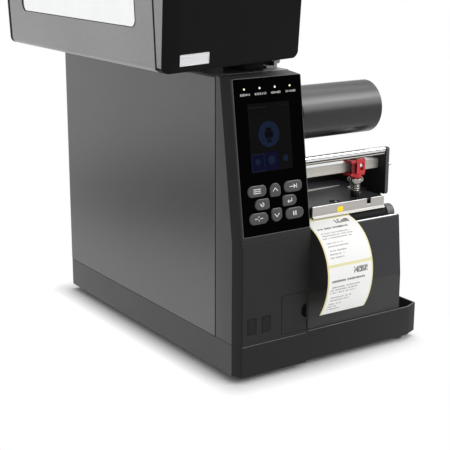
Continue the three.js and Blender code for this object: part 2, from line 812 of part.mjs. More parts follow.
// Platen roller with its drive: motor, two pulleys and a belt
function makePlaten() {
  const roller = join(
    rod('x', platenY, platenZ, platenRadius, platenLeft, platenRight),
    rod('x', platenY, platenZ, platenShaftRadius, pulleyLeft, boxInnerRight - 2 * bearingSeat));
  printer.add(piece('platen_roller', roller, rubber));

  const bearing = cut(
    join(
      rod('x', platenY, platenZ, bearingRadius, bearingLeft, boxInnerRight - fitGap),
      block(bearingLeft, boxInnerRight - fitGap, platenY - bearingRadius + bearingSeat,
        platenY + bearingRadius, platenZ - bearingDrop, platenZ)),
    rod('x', platenY, platenZ, platenShaftRadius + shaftGap, bearingLeft - overrun,
      boxInnerRight - bearingSeat));
  printer.add(piece('platen_bearing', bearing, darkPlastic));

  const pulleyRight = pulleyLeft + pulleyWidth;
  const wheel = (y, z, radius, bore) => cut(
    join(
      rod('x', y, z, radius, pulleyLeft, pulleyRight),
      rod('x', y, z, radius + beltThickness, pulleyLeft, pulleyLeft + pulleyRim),
      rod('x', y, z, radius + beltThickness, pulleyRight - pulleyRim, pulleyRight)),
    rod('x', y, z, bore, pulleyLeft - overrun, pulleyRight + overrun));
  printer.add(piece('platen_pulley',
    wheel(platenY, platenZ, platenPulleyRadius, platenShaftRadius + fitGap), blackPlastic));
  printer.add(piece('motor_pulley',
    wheel(motorY, motorZ, motorPulleyRadius, motorShaftRadius + fitGap), steel));

  const grow = (extra) => loopOutline([platenY, platenZ, platenPulleyRadius + extra],
    [motorY, motorZ, motorPulleyRadius + extra]);
  const beltLeft = pulleyLeft + pulleyRim + fitGap;
  const beltRight = pulleyRight - pulleyRim - fitGap;
  const belt = cut(prism('x', grow(shaftGap + beltThickness), beltLeft, beltRight, beltSteps),
    prism('x', grow(shaftGap), beltLeft - overrun, beltRight + overrun, beltSteps));
  printer.add(piece('drive_belt', belt, rubber));

  const half = motorSize / 2;
  const motorLeft = columnWidth + fitGap;
  const motorOutline = roundedOutline(motorY - half, motorY + half, motorZ - half,
    motorZ + half, motorCorner);
  const motor = join(
    prism('x', motorOutline, motorLeft, motorLeft + motorLength),
    rod('x', motorY, motorZ, motorShaftRadius, pulleyLeft, motorLeft + overrun));
  printer.add(piece('stepper_motor', motor, blackSteel));
}
const bearingSeat = 2;

// Paper: the strip from the roll through the nip and out of the front, and the roll itself
const platenTop = platenZ + platenRadius;
const stripZ = platenTop + paperGap + labelThickness / 2;
const rollZ = hangerZ + hangerRadius + fitGap - coreRadius;
function makeLabels() {
  const exit = new THREE.Vector2(exitY, stripZ - exitDrop);
  const end = new THREE.Vector2(endY, endZ);
  const nip = new THREE.Vector2(platenY - nipLead, stripZ);
  const webEnd = new THREE.Vector2(rollY, rollZ - rollRadius - paperGap - labelThickness);
  const webMiddle = (webLevelEnd + rollY) / 2;
  const front = new THREE.CubicBezierCurve(exit,
    new THREE.Vector2(exit.x - upperReach, exit.y - upperFall),
    new THREE.Vector2(end.x - lowerReach, end.y + lowerRise), end);
  const rear = new THREE.CubicBezierCurve(new THREE.Vector2(webLevelEnd, stripZ),
    new THREE.Vector2(webMiddle, stripZ), new THREE.Vector2(webMiddle, webEnd.y), webEnd);
  const path = [...front.getPoints(stripSteps).reverse(), nip, ...rear.getPoints(stripSteps)];
  const offset = (side) => path.map((point, i) => {
    const before = path[Math.max(0, i - 1)];
    const after = path[Math.min(path.length - 1, i + 1)];
    const along = after.clone().sub(before).normalize();
    return [point.x - along.y * side, point.y + along.x * side];
  });
  const half = labelThickness / 2;
  const outline = [...offset(-half), ...offset(half).reverse()];
  printer.add(piece('label_strip',
    prism('x', outline, labelLeft, labelLeft + labelWidth), paper));

  const rollRight = labelLeft + labelWidth;
  printer.add(piece('label_roll', cut(
    rod('x', rollY, rollZ, rollRadius, labelLeft, rollRight),
    rod('x', rollY, rollZ, coreRadius, labelLeft - overrun, rollRight + overrun)), paper));

  const hangerLeft = columnWidth + fitGap;
  printer.add(piece('media_hanger', join(
    rod('x', rollY, hangerZ, hangerFoot, hangerLeft, hangerLeft + hangerPlate),
    rod('x', rollY, hangerZ, hangerRadius, hangerLeft, hangerRight),
    rod('x', rollY, hangerZ, hangerFlange, hangerRight - hangerPlate, hangerRight)),
  blackPlastic));

  const guideLeft = rollRight + fitGap;
  const guideOutline = roundedOutline(rollY - guideHalfWidth, rollY + guideHalfWidth,
    hangerZ - guideBelow, hangerZ + guideAbove, guideHalfWidth / 2);
  printer.add(piece('media_guide', cut(
    prism('x', guideOutline, guideLeft, guideLeft + guideThickness),
    rod('x', rollY, hangerZ, hangerRadius + shaftGap, guideLeft - overrun,
      guideLeft + guideThickness + overrun)), darkPlastic));
}

// Print mechanism, which swings up about a pin on the centre wall
const armLeft = columnWidth + fitGap;
const armRight = armLeft + armThickness;
const headBottom = platenTop + 2 * paperGap + labelThickness + paperGap;
function makeMechanism() {
  const side = (bottomRear) => [
    [endPlateFront, endPlateBottom], [endPlateRear, bottomRear],
    [endPlateRear, endPlateTopRear], [endPlateKnee, endPlateTop],
    [endPlateFront + endPlateCorner, endPlateTop],
    [endPlateFront, endPlateTop - endPlateCorner],
  ];
  const backFront = endPlateRear - armThickness;
  const frame = cut(
    join(
      prism('x', side(backPlateBottom), armLeft, armRight),
      block(armLeft, mechanismRight, backFront, endPlateRear, backPlateBottom,
        endPlateTopRear)),
    rod('x', pivotY, pivotZ, pivotRadius + shaftGap, armLeft - overrun,
      armLeft + pivotLength));
  const leverPin = rod('x', leverY, leverZ, leverPinRadius, armLeft,
    armRight + fitGap + leverThickness + fitGap);
  printer.add(piece('head_frame', join(frame, leverPin), blackSteel));

  const plateLeft = mechanismRight + fitGap;
  const plateRight = plateLeft + endPlateThickness;
  printer.add(piece('head_end_plate', join(
    prism('x', side(endPlateBottom), plateLeft, plateRight),
    rod('x', stubY, stubZ, stubRadius, plateLeft, plateRight + stubLength, smallSides)),
  blackSteel));

  const barLeft = armRight + fitGap;
  printer.add(piece('guide_bar',
    rod('x', guideBarY, guideBarZ, guideBarRadius, barLeft, mechanismRight), polishedSteel));
  printer.add(piece('pressure_bar', block(barLeft, mechanismRight, barFront,
    barFront + barDepth, barBottom, barBottom + barHeight), steel));

  const leverLeft = armRight + fitGap;
  const lever = cut(
    join(
      rod('x', leverY, leverZ, leverHub, leverLeft, leverLeft + leverThickness),
      block(leverLeft, leverLeft + leverThickness, leverY - leverWidth / 2,
        leverY + leverWidth / 2, leverZ, leverZ + leverArm)),
    rod('x', leverY, leverZ, leverPinRadius + shaftGap, leverLeft - overrun,
      leverLeft + leverThickness + overrun));
  printer.add(piece('head_lever', lever, darkPlastic));

  const plateBottom = headTop - headPlate;
  const bracketRear = backFront - fitGap;
  const head = cut(
    join(
      block(headLeft, headRight, headFront, headRear, plateBottom, headTop),
      block(headLeft, headRight, headFront + headBlockMargin, headRear - headBlockMargin,
        headBottom, plateBottom + headPlate / 2),
      block(headLeft + bracketInset, mechanismRight, headRear - headBlockMargin,
        bracketRear, plateBottom, headTop)),
    rod('z', headHoleX, headHoleY, headHoleRadius, plateBottom, headTop + overrun, smallSides));
  printer.add(piece('print_head', head, blackSteel));

  const plateFront = headFront - fitGap - frontPlateThickness;
  const top = headTop + frontPlateRise;
  const fold = top - frontPlateFold;
  const foldRear = plateFront + frontPlateThickness;
  const frontOutline = [
    [plateFront, fold], [plateFront - lipReach, fold - lipDrop],
    [plateFront - lipReach + frontPlateThickness / 2, fold - lipDrop - frontPlateRise],
    [foldRear, fold - frontPlateThickness / 2], [foldRear, top], [plateFront, top],
  ];
  printer.add(piece('head_front_plate', cut(
    prism('x', frontOutline, headFrontLeft, headRight),
    block(notchLeft, notchLeft + notchWidth, plateFront - overrun, foldRear + overrun,
      top - notchDepth, top + overrun)), polishedSteel));
}

// Spring wire as one tube: a straight lead, a helix and a straight lead
function springGeometry(x, y, bottom, top) {
  const lead = 2 * springWireRadius;
  const turnsHeight = top - bottom - 2 * lead;
  const count = Math.round(springTurns * curlSteps);
  const points = [];
  points.push(new THREE.Vector3(springCoilRadius, 0, bottom));
  for (let i = 0; i <= count; i += 1) {
    const angle = (2 * Math.PI * i) / curlSteps;
    points.push(new THREE.Vector3(springCoilRadius * Math.cos(angle),
      springCoilRadius * Math.sin(angle), bottom + lead + (turnsHeight * i) / count));
  }
  const last = points[points.length - 1];
  points.push(new THREE.Vector3(last.x, last.y, top));
  const rings = points.map((point, i) => {
    const before = points[Math.max(0, i - 1)];
    const after = points[Math.min(points.length - 1, i + 1)];
    const along = after.clone().sub(before).normalize();
    const isEnd = i === 0 || i === points.length - 1;
    if (isEnd) along.set(0, 0, 1);
    const outward = new THREE.Vector3(point.x, point.y, 0).normalize();
    const sideways = new THREE.Vector3().crossVectors(along, outward).normalize();
    const normal = new THREE.Vector3().crossVectors(sideways, along).normalize();
    return Array.from({ length: wireSides }, (_, j) => {
      const turn = (2 * Math.PI * j) / wireSides;
      return point.clone()
        .addScaledVector(normal, springWireRadius * Math.cos(turn))
        .addScaledVector(sideways, springWireRadius * Math.sin(turn));
    });
  });
  const vertices = rings.flat().flatMap((p) => [p.x + x, p.y + y, p.z]);
  const faces = [];
  for (let i = 0; i + 1 < rings.length; i += 1) {
    for (let j = 0; j < wireSides; j += 1) {
      const a = i * wireSides + j;
      const b = i * wireSides + ((j + 1) % wireSides);
      faces.push(a, b, b + wireSides, a, b + wireSides, a + wireSides);
    }
  }
  const lastRing = (rings.length - 1) * wireSides;
  for (let j = 1; j + 1 < wireSides; j += 1) {
    faces.push(0, j + 1, j);
    faces.push(lastRing, lastRing + j, lastRing + j + 1);
  }
  const geometry = new THREE.BufferGeometry();
  geometry.setAttribute('position', new THREE.Float32BufferAttribute(vertices, 3));
  geometry.setIndex(faces);
  geometry.computeVertexNormals();
  return { geometry, gap: leastCoilGap(points) };
}

// Least distance between wire surfaces of neighbouring turns
function leastCoilGap(points) {
  let least = Infinity;
  for (let i = 0; i < points.length; i += 1) {
    for (let j = i + curlSteps / 2; j < points.length; j += 1) {
      least = Math.min(least, points[i].distanceTo(points[j]) - 2 * springWireRadius);
    }
  }
  return least;
}

// Pressure unit that slides on the square bar, with its nut, spring and foot
function makePressureUnit() {
  const right = unitLeft + unitWidth;
  const rear = barFront + unitReach;
  const barTop = barBottom + barHeight;
  const stemX = unitLeft + unitWidth / 2;
  const frontRear = barFront - fitGap;
  const body = cut(
    join(
      block(unitLeft, right, unitFront, frontRear, unitBottom, unitFrontTop),
      block(unitLeft, right, frontRear - overrun, rear, unitBottom + fitGap * 2,
        barTop + fitGap + unitWallTop)),
    block(unitLeft - overrun, right + overrun, frontRear, rear + overrun,
      barBottom - fitGap, barTop + fitGap),
    block(stemX - unitGrooveWidth, stemX, unitFront - overrun, unitFront + unitGrooveDepth,
      unitBottom + unitGrooveWidth, unitFrontTop - unitGrooveWidth));
  printer.add(piece('pressure_unit', body, redPlastic));

  const nutTop = unitBottom - fitGap;
  const nutBottom = nutTop - nutThickness;
  const collarBottom = nutBottom - nutCollarHeight;
  printer.add(piece('adjusting_nut', cut(
    join(
      rod('z', stemX, stemY, nutRadius, nutBottom, nutTop, smallSides),
      rod('z', stemX, stemY, nutCollarRadius, collarBottom, nutTop, smallSides)),
    rod('z', stemX, stemY, stemRadius + shaftGap, collarBottom - overrun, nutTop + overrun,
      smallSides)), steel));

  const footBottom = headTop + fitGap;
  const footTop = footBottom + footTall;
  printer.add(piece('pressure_foot', join(
    rod('z', stemX, stemY, footBottomRadius, footBottom, footTop, smallSides, footTopRadius),
    rod('z', stemX, stemY, stemRadius, footBottom, nutTop, smallSides)), blackPlastic));

  const spring = springGeometry(stemX, stemY, footTop + fitGap, collarBottom - fitGap);
  console.log(`pressure_spring least gap ${spring.gap.toFixed(2)} mm`);
  printer.add(piece('pressure_spring', spring.geometry, steel));
}

// Two ribbon spindles, the front one with its ribbon roll
function makeRibbon() {
  const spindle = (y) => join(
    rod('x', y, ribbonZ, spindleShaft, spindleLeft, spindleFlangeLeft + spindleFlangeWidth),
    rod('x', y, ribbonZ, spindleFlange, spindleFlangeLeft,
      spindleFlangeLeft + spindleFlangeWidth),
    rod('x', y, ribbonZ, spindleCore, spindleFlangeLeft, spindleRight));
  printer.add(piece('ribbon_front_spindle', spindle(ribbonY), blackPlastic));
  printer.add(piece('ribbon_rear_spindle', spindle(rearSpindleY), blackPlastic));
  printer.add(piece('ribbon_roll', cut(
    rod('x', ribbonY, ribbonZ, ribbonRadius, ribbonLeft, ribbonRight),
    rod('x', ribbonY, ribbonZ, spindleCore + fitGap, ribbonLeft - overrun,
      ribbonRight + overrun)), ribbonFilm));
}

// Media cover, drawn closed in the machine's frame and swung open about its hinge
const coverLeft = columnWidth + coverGap;
const coverGroup = new THREE.Group();
coverGroup.position.set(hingeX, 0, hingeZ);
coverGroup.rotation.y = -openAngle;
const closedFrame = new THREE.Group();
closedFrame.position.set(-hingeX, 0, -hingeZ);
coverGroup.add(closedFrame);

// Section of the cover across the machine, with its walls moved in by a skin
function coverSection(skin, spare) {
  const shape = new THREE.Shape();
  const radius = coverRound - skin;
  shape.moveTo(coverBottom - spare, coverLeft - spare);
  shape.lineTo(housingTop - skin, coverLeft - spare);
  shape.absarc(housingTop - coverRound, coverRight - coverRound, radius, 0, Math.PI / 2);
  shape.lineTo(coverBottom - spare, coverRight - skin);
  return shape;
}

function makeCover() {
  const coverRear = shellRear + fitGap + rearCapDepth;
  const roof = housingTop + overrun;
  const floor = coverBottom - overrun;
  const windowHole = (shrink) => roundedOutline(windowFront + shrink, windowRear - shrink,
    windowBottom + shrink, windowTop - shrink, windowRound);
  const shell = cut(
    prism('y', coverSection(0, 0), seamY + fitGap, shellRear),
    prism('y', coverSection(sheetWall, overrun), seamY, shellRear + overrun),
    prism('x', windowHole(0), coverRight - 2 * sheetWall, coverRight + overrun));
  closedFrame.add(piece('cover_shell', shell, coverPaint));

  const glassRight = coverRight - windowSink;
  closedFrame.add(piece('cover_window',
    prism('x', windowHole(fitGap), glassRight - windowThickness, glassRight), clearPlastic));

  const topFront = housingTop - capTopFall;
  const capOutline = (skin, spare) => [
    [skin, coverBottom - spare], [seamY, coverBottom - spare], [seamY, housingTop - skin],
    [faceAt(topFront) + capTopRun + skin, housingTop - skin],
    [faceAt(topFront) + skin, topFront - skin / 2], [skin, creaseHeight],
  ];
  const wedge = (skin) => cornerWedge(coverRight, -1, capCornerWidth, capCornerDepth,
    coverBottom - 2 * overrun, roof, skin);
  const body = cut(common(prism('x', capOutline(0, 0), coverLeft, coverRight),
    prism('y', coverSection(0, 0), -overrun, trayDepth)), wedge(0));
  const hollow = cut(common(
    prism('x', capOutline(capWall, overrun), coverLeft - overrun, coverRight),
    prism('y', coverSection(capWall, overrun), -overrun, trayDepth)), wedge(capWall));
  const hollowRear = common(prism('y', coverSection(capWall, overrun), seamY - overrun,
    seamY + overrun), block(coverLeft - overrun, coverRight, 0, trayDepth, floor - overrun,
    housingTop - capWall));
  const hingeCorner = cut(
    block(coverLeft - overrun, coverLeft + capHingeRound, -overrun, seamY + overrun,
      housingTop - capHingeRound, roof),
    rod('y', housingTop - capHingeRound, coverLeft + capHingeRound, capHingeRound,
      -2 * overrun, seamY + 2 * overrun));
  const exitCut = block(coverLeft - overrun, boxRight + capSlotGap, -overrun,
    trayDepth, floor - overrun, capLowerEdge);
  closedFrame.add(piece('cover_front_cap', cut(body, hollow, hollowRear, hingeCorner, exitCut),
    blackPlastic));

  const rearFront = shellRear + fitGap;
  const lipFront = coverRear - sheetWall;
  const rearCap = cut(
    prism('y', coverSection(0, 0), rearFront, coverRear),
    prism('y', coverSection(sheetWall, overrun), rearFront - overrun, lipFront),
    prism('y', coverSection(Math.min(rearLip, coverRound - overrun / 2), overrun),
      lipFront - overrun, coverRear + overrun));
  closedFrame.add(piece('cover_rear_cap', rearCap, blackPlastic));
}

// Long hinge on the roof: fixed leaf with its pin, and the leaf that goes with the cover
function makeHinge() {
  const hingeRear = hingeFront + knuckleCount * knuckleLength;
  const leafBottom = housingTop + fitGap;
  const leafTop = leafBottom + leafThickness;
  const knuckles = (parity) => Array.from({ length: knuckleCount }, (_, i) => i)
    .filter((i) => i % 2 === parity)
    .map((i) => {
      const start = hingeFront + i * knuckleLength + fitGap;
      return [start, start + knuckleLength - 2 * fitGap];
    });
  const leaf = (side, parity) => {
    const near = hingeX + side * leafNear;
    const far = hingeX + side * leafFar;
    const inner = hingeX + side * leafWebInner;
    const plate = block(Math.min(near, far), Math.max(near, far), hingeFront, hingeRear,
      leafBottom, leafTop);
    const barrels = knuckles(parity).flatMap(([from, to]) => [
      rod('y', hingeZ, hingeX, knuckleRadius, from, to, smallSides),
      block(Math.min(inner, near), Math.max(inner, near), from, to, leafBottom, hingeZ),
    ]);
    return join(plate, ...barrels);
  };
  const pin = rod('y', hingeZ, hingeX, hingePinRadius, hingeFront, hingeRear, smallSides);
  const bore = rod('y', hingeZ, hingeX, hingePinRadius + shaftGap, hingeFront - overrun,
    hingeRear + overrun, smallSides);
  printer.add(piece('hinge_fixed_leaf', join(leaf(-1, 0), pin), steel));
  closedFrame.add(piece('hinge_moving_leaf', cut(leaf(1, 1), bore), steel));

  printer.add(piece('stop_block', block(stopLeft, stopLeft + stopWidth, hingeFront,
    hingeFront + stopDepth, housingTop + fitGap, housingTop + fitGap + stopHeight), rubber));
}

makeTray();
makeHousing();
makeRear();
makeColumn();
makeDisplay();
makeLowerFront();
makeFrontBox();
makePlaten();
makeLabels();
makeMechanism();
makePressureUnit();
makeRibbon();
makeCover();
makeHinge();
printer.add(coverGroup);

// The origin is the middle of the footprint, at the floor
const bounds = new THREE.Box3().setFromObject(printer, true);
const middle = bounds.getCenter(new THREE.Vector3());
printer.position.set(-middle.x, -middle.y, -bounds.min.z);
printer.updateMatrixWorld(true);

export default printer;
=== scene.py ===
"""Looks of a desktop label printer whose media cover lies folded open over its roof.

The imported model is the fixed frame. Each sub-assembly is a class that holds its sizes,
builds its pieces and dresses them. Sizes are millimetres in the machine's own frame, whose
origin is the lower front left corner of the tray, and every mesh is made in metres.
"""

import json
import logging
import math
from collections.abc import Callable, Iterable, Mapping, Sequence
from dataclasses import dataclass, field, replace
from enum import Enum, IntEnum

import bmesh
import bpy
from mathutils import Matrix, Vector
from mathutils.geometry import tessellate_polygon

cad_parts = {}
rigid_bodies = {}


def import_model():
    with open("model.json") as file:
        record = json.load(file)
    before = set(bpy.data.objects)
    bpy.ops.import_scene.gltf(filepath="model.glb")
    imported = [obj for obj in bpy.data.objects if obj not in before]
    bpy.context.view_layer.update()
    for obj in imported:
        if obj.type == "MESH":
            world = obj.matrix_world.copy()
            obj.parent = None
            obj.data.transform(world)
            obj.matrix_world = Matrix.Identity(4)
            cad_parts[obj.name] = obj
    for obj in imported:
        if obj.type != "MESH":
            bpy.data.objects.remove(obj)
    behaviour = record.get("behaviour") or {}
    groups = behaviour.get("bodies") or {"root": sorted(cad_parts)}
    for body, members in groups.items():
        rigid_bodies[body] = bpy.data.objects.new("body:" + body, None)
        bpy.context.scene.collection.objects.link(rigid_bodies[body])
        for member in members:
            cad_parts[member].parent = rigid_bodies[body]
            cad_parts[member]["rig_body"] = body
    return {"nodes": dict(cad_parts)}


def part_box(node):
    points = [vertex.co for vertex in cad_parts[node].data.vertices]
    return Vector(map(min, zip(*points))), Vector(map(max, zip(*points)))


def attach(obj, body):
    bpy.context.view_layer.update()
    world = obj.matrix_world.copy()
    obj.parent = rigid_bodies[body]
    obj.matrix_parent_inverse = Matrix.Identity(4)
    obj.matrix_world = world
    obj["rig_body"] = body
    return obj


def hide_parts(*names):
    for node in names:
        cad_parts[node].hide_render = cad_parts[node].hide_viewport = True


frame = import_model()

log = logging.getLogger("label_printer")
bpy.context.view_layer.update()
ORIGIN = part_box("base_tray")[0]
MILLI = 0.001
UP = Vector((0, 0, 1))
LEFTWARD, FRONTWARD, REARWARD = Vector((-1, 0, 0)), Vector((0, -1, 0)), Vector((0, 1, 0))

# The front's crease and slope, then the cover's hinge line in x and z and its turn when open
CREASE = 143.3
SLOPE = math.radians(7.9)
HINGE = (90.0, 318.9)
OPENED = math.radians(-182.5)

# Where axes pass: the rolls' and the platen's in y and z, the pressure unit's stem in x and y
ROLL_AXIS = (285.0, 165.3)
RIBBON_AXIS = (61.0, 261.5)
PLATEN_AXIS = (26.0, 145.0)
STEM_AXIS = (181.75, 37.0)

# Least angle in degrees of an edge that is sharp or rounded
BEND = 32.0

Point2 = tuple[float, float]
Point3 = tuple[float, float, float]
Color = tuple[float, float, float]
Socket = bpy.types.NodeSocket
Sides = tuple[float, float, float, float]
Outline = tuple[Point2, ...]
Place = Callable[[float, float, float], Vector]


# Places: from sizes in millimetres to points in metres

def machine(x: float, y: float, z: float) -> Vector:
    """Returns the point of the machine's own frame."""
    return ORIGIN + Vector((x, y, z)) * MILLI


def local(x: float, y: float, z: float) -> Vector:
    """Returns a point about the origin, for a form that is repeated."""
    return Vector((x, y, z)) * MILLI


def sloped(up: float, out: float) -> Point2:
    """Returns y and z for a way up the slope from its crease and out of its surface."""
    return (up * math.sin(SLOPE) - out * math.cos(SLOPE),
            CREASE + up * math.cos(SLOPE) + out * math.sin(SLOPE))


def on_slope(x: float, up: float, out: float) -> Vector:
    """Returns a point of the sloped face."""
    return machine(x, *sloped(up, out))


def opened(x: float, y: float, z: float) -> Vector:
    """Returns where a point of the closed media cover lies while the cover is open.

    Args:
        x: Place of the point across the machine.
        y: Its depth.
        z: Its height.

    Returns:
        The point after the turn about the hinge.
    """
    dx, dz = x - HINGE[0], z - HINGE[1]
    turned = math.cos(OPENED) * dx + math.sin(OPENED) * dz
    risen = -math.sin(OPENED) * dx + math.cos(OPENED) * dz
    return machine(HINGE[0] + turned, y, HINGE[1] + risen)


def on_cap(x: float, up: float, out: float) -> Vector:
    """Returns a point of the open cover's sloped front, in the sizes of the closed one."""
    return opened(x, *sloped(up, out))


def linked(name: str, data: bpy.types.ID | None) -> bpy.types.Object:
    """Makes an object and puts it in the scene.

    Args:
        name: Its name.
        data: Its mesh, lamp or camera.

    Returns:
        The object.
    """
    thing = bpy.data.objects.new(name, data)
    bpy.context.scene.collection.objects.link(thing)
    return thing


class Axis(Enum):
    """The axis along which an outline is drawn out or turned."""

    X = "x"
    Y = "y"
    Z = "z"

    def spread(self, u: float, v: float, w: float) -> Point3:
        """Returns x, y and z for a point u, v of an outline at w along the axis."""
        return {"x": (w, u, v), "y": (u, w, v), "z": (u, v, w)}[self.value]


# Node benches

class Bench:
    """Adds and joins nodes in one node tree."""

    def __init__(self, tree: bpy.types.NodeTree) -> None:
        """Starts work on a tree."""
        self.tree = tree

    def feed(self, entry: Socket, value: object) -> None:
        """Joins an input to an output or sets it to a value.

        Args:
            entry: The input.
            value: The output or the value.
        """
        if isinstance(value, Socket):
            self.tree.links.new(value, entry)
        else:
            entry.default_value = value

    def add(self, kind: str, inputs: Mapping | None = None, **settings: object) -> bpy.types.Node:
        """Adds one node.

        Args:
            kind: The node's type name.
            inputs: Values or output sockets for its inputs, by name or number.
            settings: Properties of the node.

        Returns:
            The new node.
        """
        node = self.tree.nodes.new(kind)
        for key, value in settings.items():
            setattr(node, key, value)
        for key, value in (inputs or {}).items():
            self.feed(node.inputs[key], value)
        return node

    def out(self, kind: str, inputs: Mapping | None = None, **settings: object) -> Socket:
        """Returns the first output of a new node."""
        return self.add(kind, inputs, **settings).outputs[0]

    def calc(self, kind: str, first: object, second: object = 0.0, **settings: object) -> Socket:
        """Returns the result of one Math node."""
        return self.out("ShaderNodeMath", {0: first, 1: second}, operation=kind, **settings)

    def span(self, value: Socket, low: float = 0.0, high: float = 1.0,
             start: float = 0.3, stop: float = 0.7) -> Socket:
        """Returns value carried from start and stop to low and high, clamped.

        Args:
            value: The socket with the value.
            low: What start becomes.
            high: What stop becomes.
            start: Where the value's range begins.
            stop: Where it ends.

        Returns:
            The socket with the result.
        """
        return self.out("ShaderNodeMapRange", {"Value": value, "From Min": start,
                                               "From Max": stop, "To Min": low,
                                               "To Max": high})


class Shading(Bench):
    """The nodes of one material."""

    def __init__(self, name: str) -> None:
        """Makes an empty node material with its shader.

        Args:
            name: The material's name.
        """
        self.material = bpy.data.materials.new(name)
        self.material.use_nodes = True
        super().__init__(self.material.node_tree)
        self.shader = self.tree.nodes["Principled BSDF"]

    def put(self, name: str, value: object) -> None:
        """Sets one of the shader's inputs to a value or joins it to a socket."""
        self.feed(self.shader.inputs[name], value)

    def coords(self, stretch: Point3 = (1.0, 1.0, 1.0), centre: Vector | None = None) -> Socket:
        """Returns object coordinates.

        Args:
            stretch: Scale along each axis.
            centre: Point in metres that becomes the origin.

        Returns:
            The socket with the coordinates.
        """
        source = self.add("ShaderNodeTexCoord").outputs["Object"]
        middle = centre or Vector((0, 0, 0))
        moved = [-middle[i] * stretch[i] for i in range(3)]
        return self.out("ShaderNodeMapping", {"Vector": source, "Location": moved,
                                              "Scale": stretch})

    def noise(self, scale: float, detail: float = 2.0,
              vector: Socket | None = None) -> Socket:
        """Returns noise of a scale per metre, in object coordinates where none are given."""
        return self.out("ShaderNodeTexNoise", {"Vector": vector or self.coords(),
                                               "Scale": scale, "Detail": detail})

    def blend(self, factor: Socket, first: object, second: object) -> Socket:
        """Returns a colour between two.

        Args:
            factor: Share of the second colour.
            first: The first colour, or a socket that gives it.
            second: The second one.

        Returns:
            The socket with the colour.
        """
        ends = [end if isinstance(end, Socket) else (*end, 1.0)
                for end in (first, second)]
        return self.add("ShaderNodeMix", {0: factor, 6: ends[0], 7: ends[1]},
                        data_type="RGBA").outputs[2]

    def weigh(self, first: Socket, second: Socket,
              share: float) -> Socket:
        """Returns the sum of two values, of which the second counts for a share."""
        return self.calc("ADD", self.calc("MULTIPLY", first, 1 - share),
                         self.calc("MULTIPLY", second, share))

    def relief(self, height: Socket, strength: float, depth: float) -> None:
        """Bumps the shader's normal by a height, with a share and a full depth in metres."""
        self.put("Normal", self.out("ShaderNodeBump", {
            "Height": height, "Strength": strength, "Distance": depth}))


def scaled(color: Color, share: float) -> Color:
    """Returns a colour made lighter or darker by a share."""
    return tuple(min(1.0, part * share) for part in color)


def grey(tone: float) -> Color:
    """Returns the grey of a tone."""
    return (tone, tone, tone)


# Finishes

@dataclass(frozen=True)
class Finish:
    """A moulded or plain finish, and what all finishes share."""

    name: str
    slot: str
    color: Color
    roughness: float = 0.5
    metallic: float = 0.0
    specular: float = 0.25
    mottle: float = 0.1
    mottle_scale: float = 25.0
    grain: float = 0.25
    grain_scale: float = 1400.0
    grain_depth: float = 0.00006

    def material(self) -> bpy.types.Material:
        """Returns this finish's material, which is made once.

        Returns:
            The material.
        """
        found = bpy.data.materials.get(f"{self.name}_finish")
        if found:
            return found
        shading = Shading(f"{self.name}_finish")
        shading.put("Metallic", self.metallic)
        shading.put("Specular IOR Level", self.specular)
        self.paint(shading)
        return shading.material

    def tint(self, shading: Shading, share: Socket) -> Socket:
        """Returns the finish's colour, from its darker to its lighter end by a share."""
        return shading.blend(share, scaled(self.color, 1 - self.mottle),
                             scaled(self.color, 1 + self.mottle))

    def dull(self, shading: Shading, share: Socket, below: float,
             above: float) -> None:
        """Lets the roughness run from below to above its named value by a share."""
        shading.put("Roughness", shading.span(share, self.roughness - below,
                                              self.roughness + above))

    def paint(self, shading: Shading) -> None:
        """Adds the finish's colour, gloss and grain.

        Args:
            shading: The nodes of the material.
        """
        broad = shading.noise(self.mottle_scale, 3.0)
        fine = shading.noise(self.grain_scale)
        both = shading.weigh(broad, fine, 0.4)
        shading.put("Base Color", self.tint(shading, shading.span(both, start=0.35,
                                                                  stop=0.65)))
        self.dull(shading, broad, 0.05, 0.05)
        shading.relief(fine, self.grain, self.grain_depth)


@dataclass(frozen=True)
class MetallicPaint(Finish):
    """Paint on sheet steel with fine flakes, its edges painted lighter as a highlight."""

    flake: float = 0.35
    flake_scale: float = 2600.0
    ior: float = 1.5
    drift_scale: float = 9.0
    # How much lighter the painted highlight makes sharp edges.
    edge_shine: float = 1.6

    def paint(self, shading: Shading) -> None:
        """Adds flakes, a slow drift of tone, a painted edge highlight and a fine orange peel.

        Args:
            shading: The nodes of the material.
        """
        shading.put("IOR", self.ior)
        grain = shading.noise(self.grain_scale, 3.0)
        flakes = shading.noise(self.flake_scale, 1.0)
        tone = self.tint(shading, shading.span(shading.noise(self.drift_scale)))
        speck = shading.span(flakes, 1 - self.flake, 1 + self.flake, 0.32, 0.68)
        cloud = shading.span(grain, 0.9, 1.1, 0.35, 0.65)
        spread = shading.out("ShaderNodeVectorMath",
                             {0: tone, "Scale": shading.calc("MULTIPLY", speck, cloud)},
                             operation="SCALE")
        # Sharp edges, found by pointiness, are painted lighter as a highlight.
        edges = shading.add("ShaderNodeNewGeometry").outputs["Pointiness"]
        edge_shine_share = shading.span(edges, 0.0, 0.5, 0.53, 0.62)
        shading.put("Base Color", shading.blend(edge_shine_share, spread, scaled(self.color, self.edge_shine)))
        self.dull(shading, grain, 0.06, 0.08)
        shading.relief(grain, self.grain, self.grain_depth)


@dataclass(frozen=True)
class DrawnMetal(Finish):
    """Bare metal with fine lines along one direction."""

    metallic: float = 1.0
    specular: float = 0.5
    grain: float = 0.1
    grain_depth: float = 0.00003
    lines: Point3 = (4.0, 500.0, 500.0)

    def paint(self, shading: Shading) -> None:
        """Adds drawing lines to the colour, gloss and relief.

        Args:
            shading: The nodes of the material.
        """
        streak = shading.noise(1.0, 4.0, shading.coords(self.lines))
        tone = shading.weigh(streak, shading.noise(self.mottle_scale), 0.3)
        shading.put("Base Color", self.tint(shading, shading.span(tone)))
        self.dull(shading, streak, 0.07, 0.1)
        shading.relief(streak, self.grain, self.grain_depth)


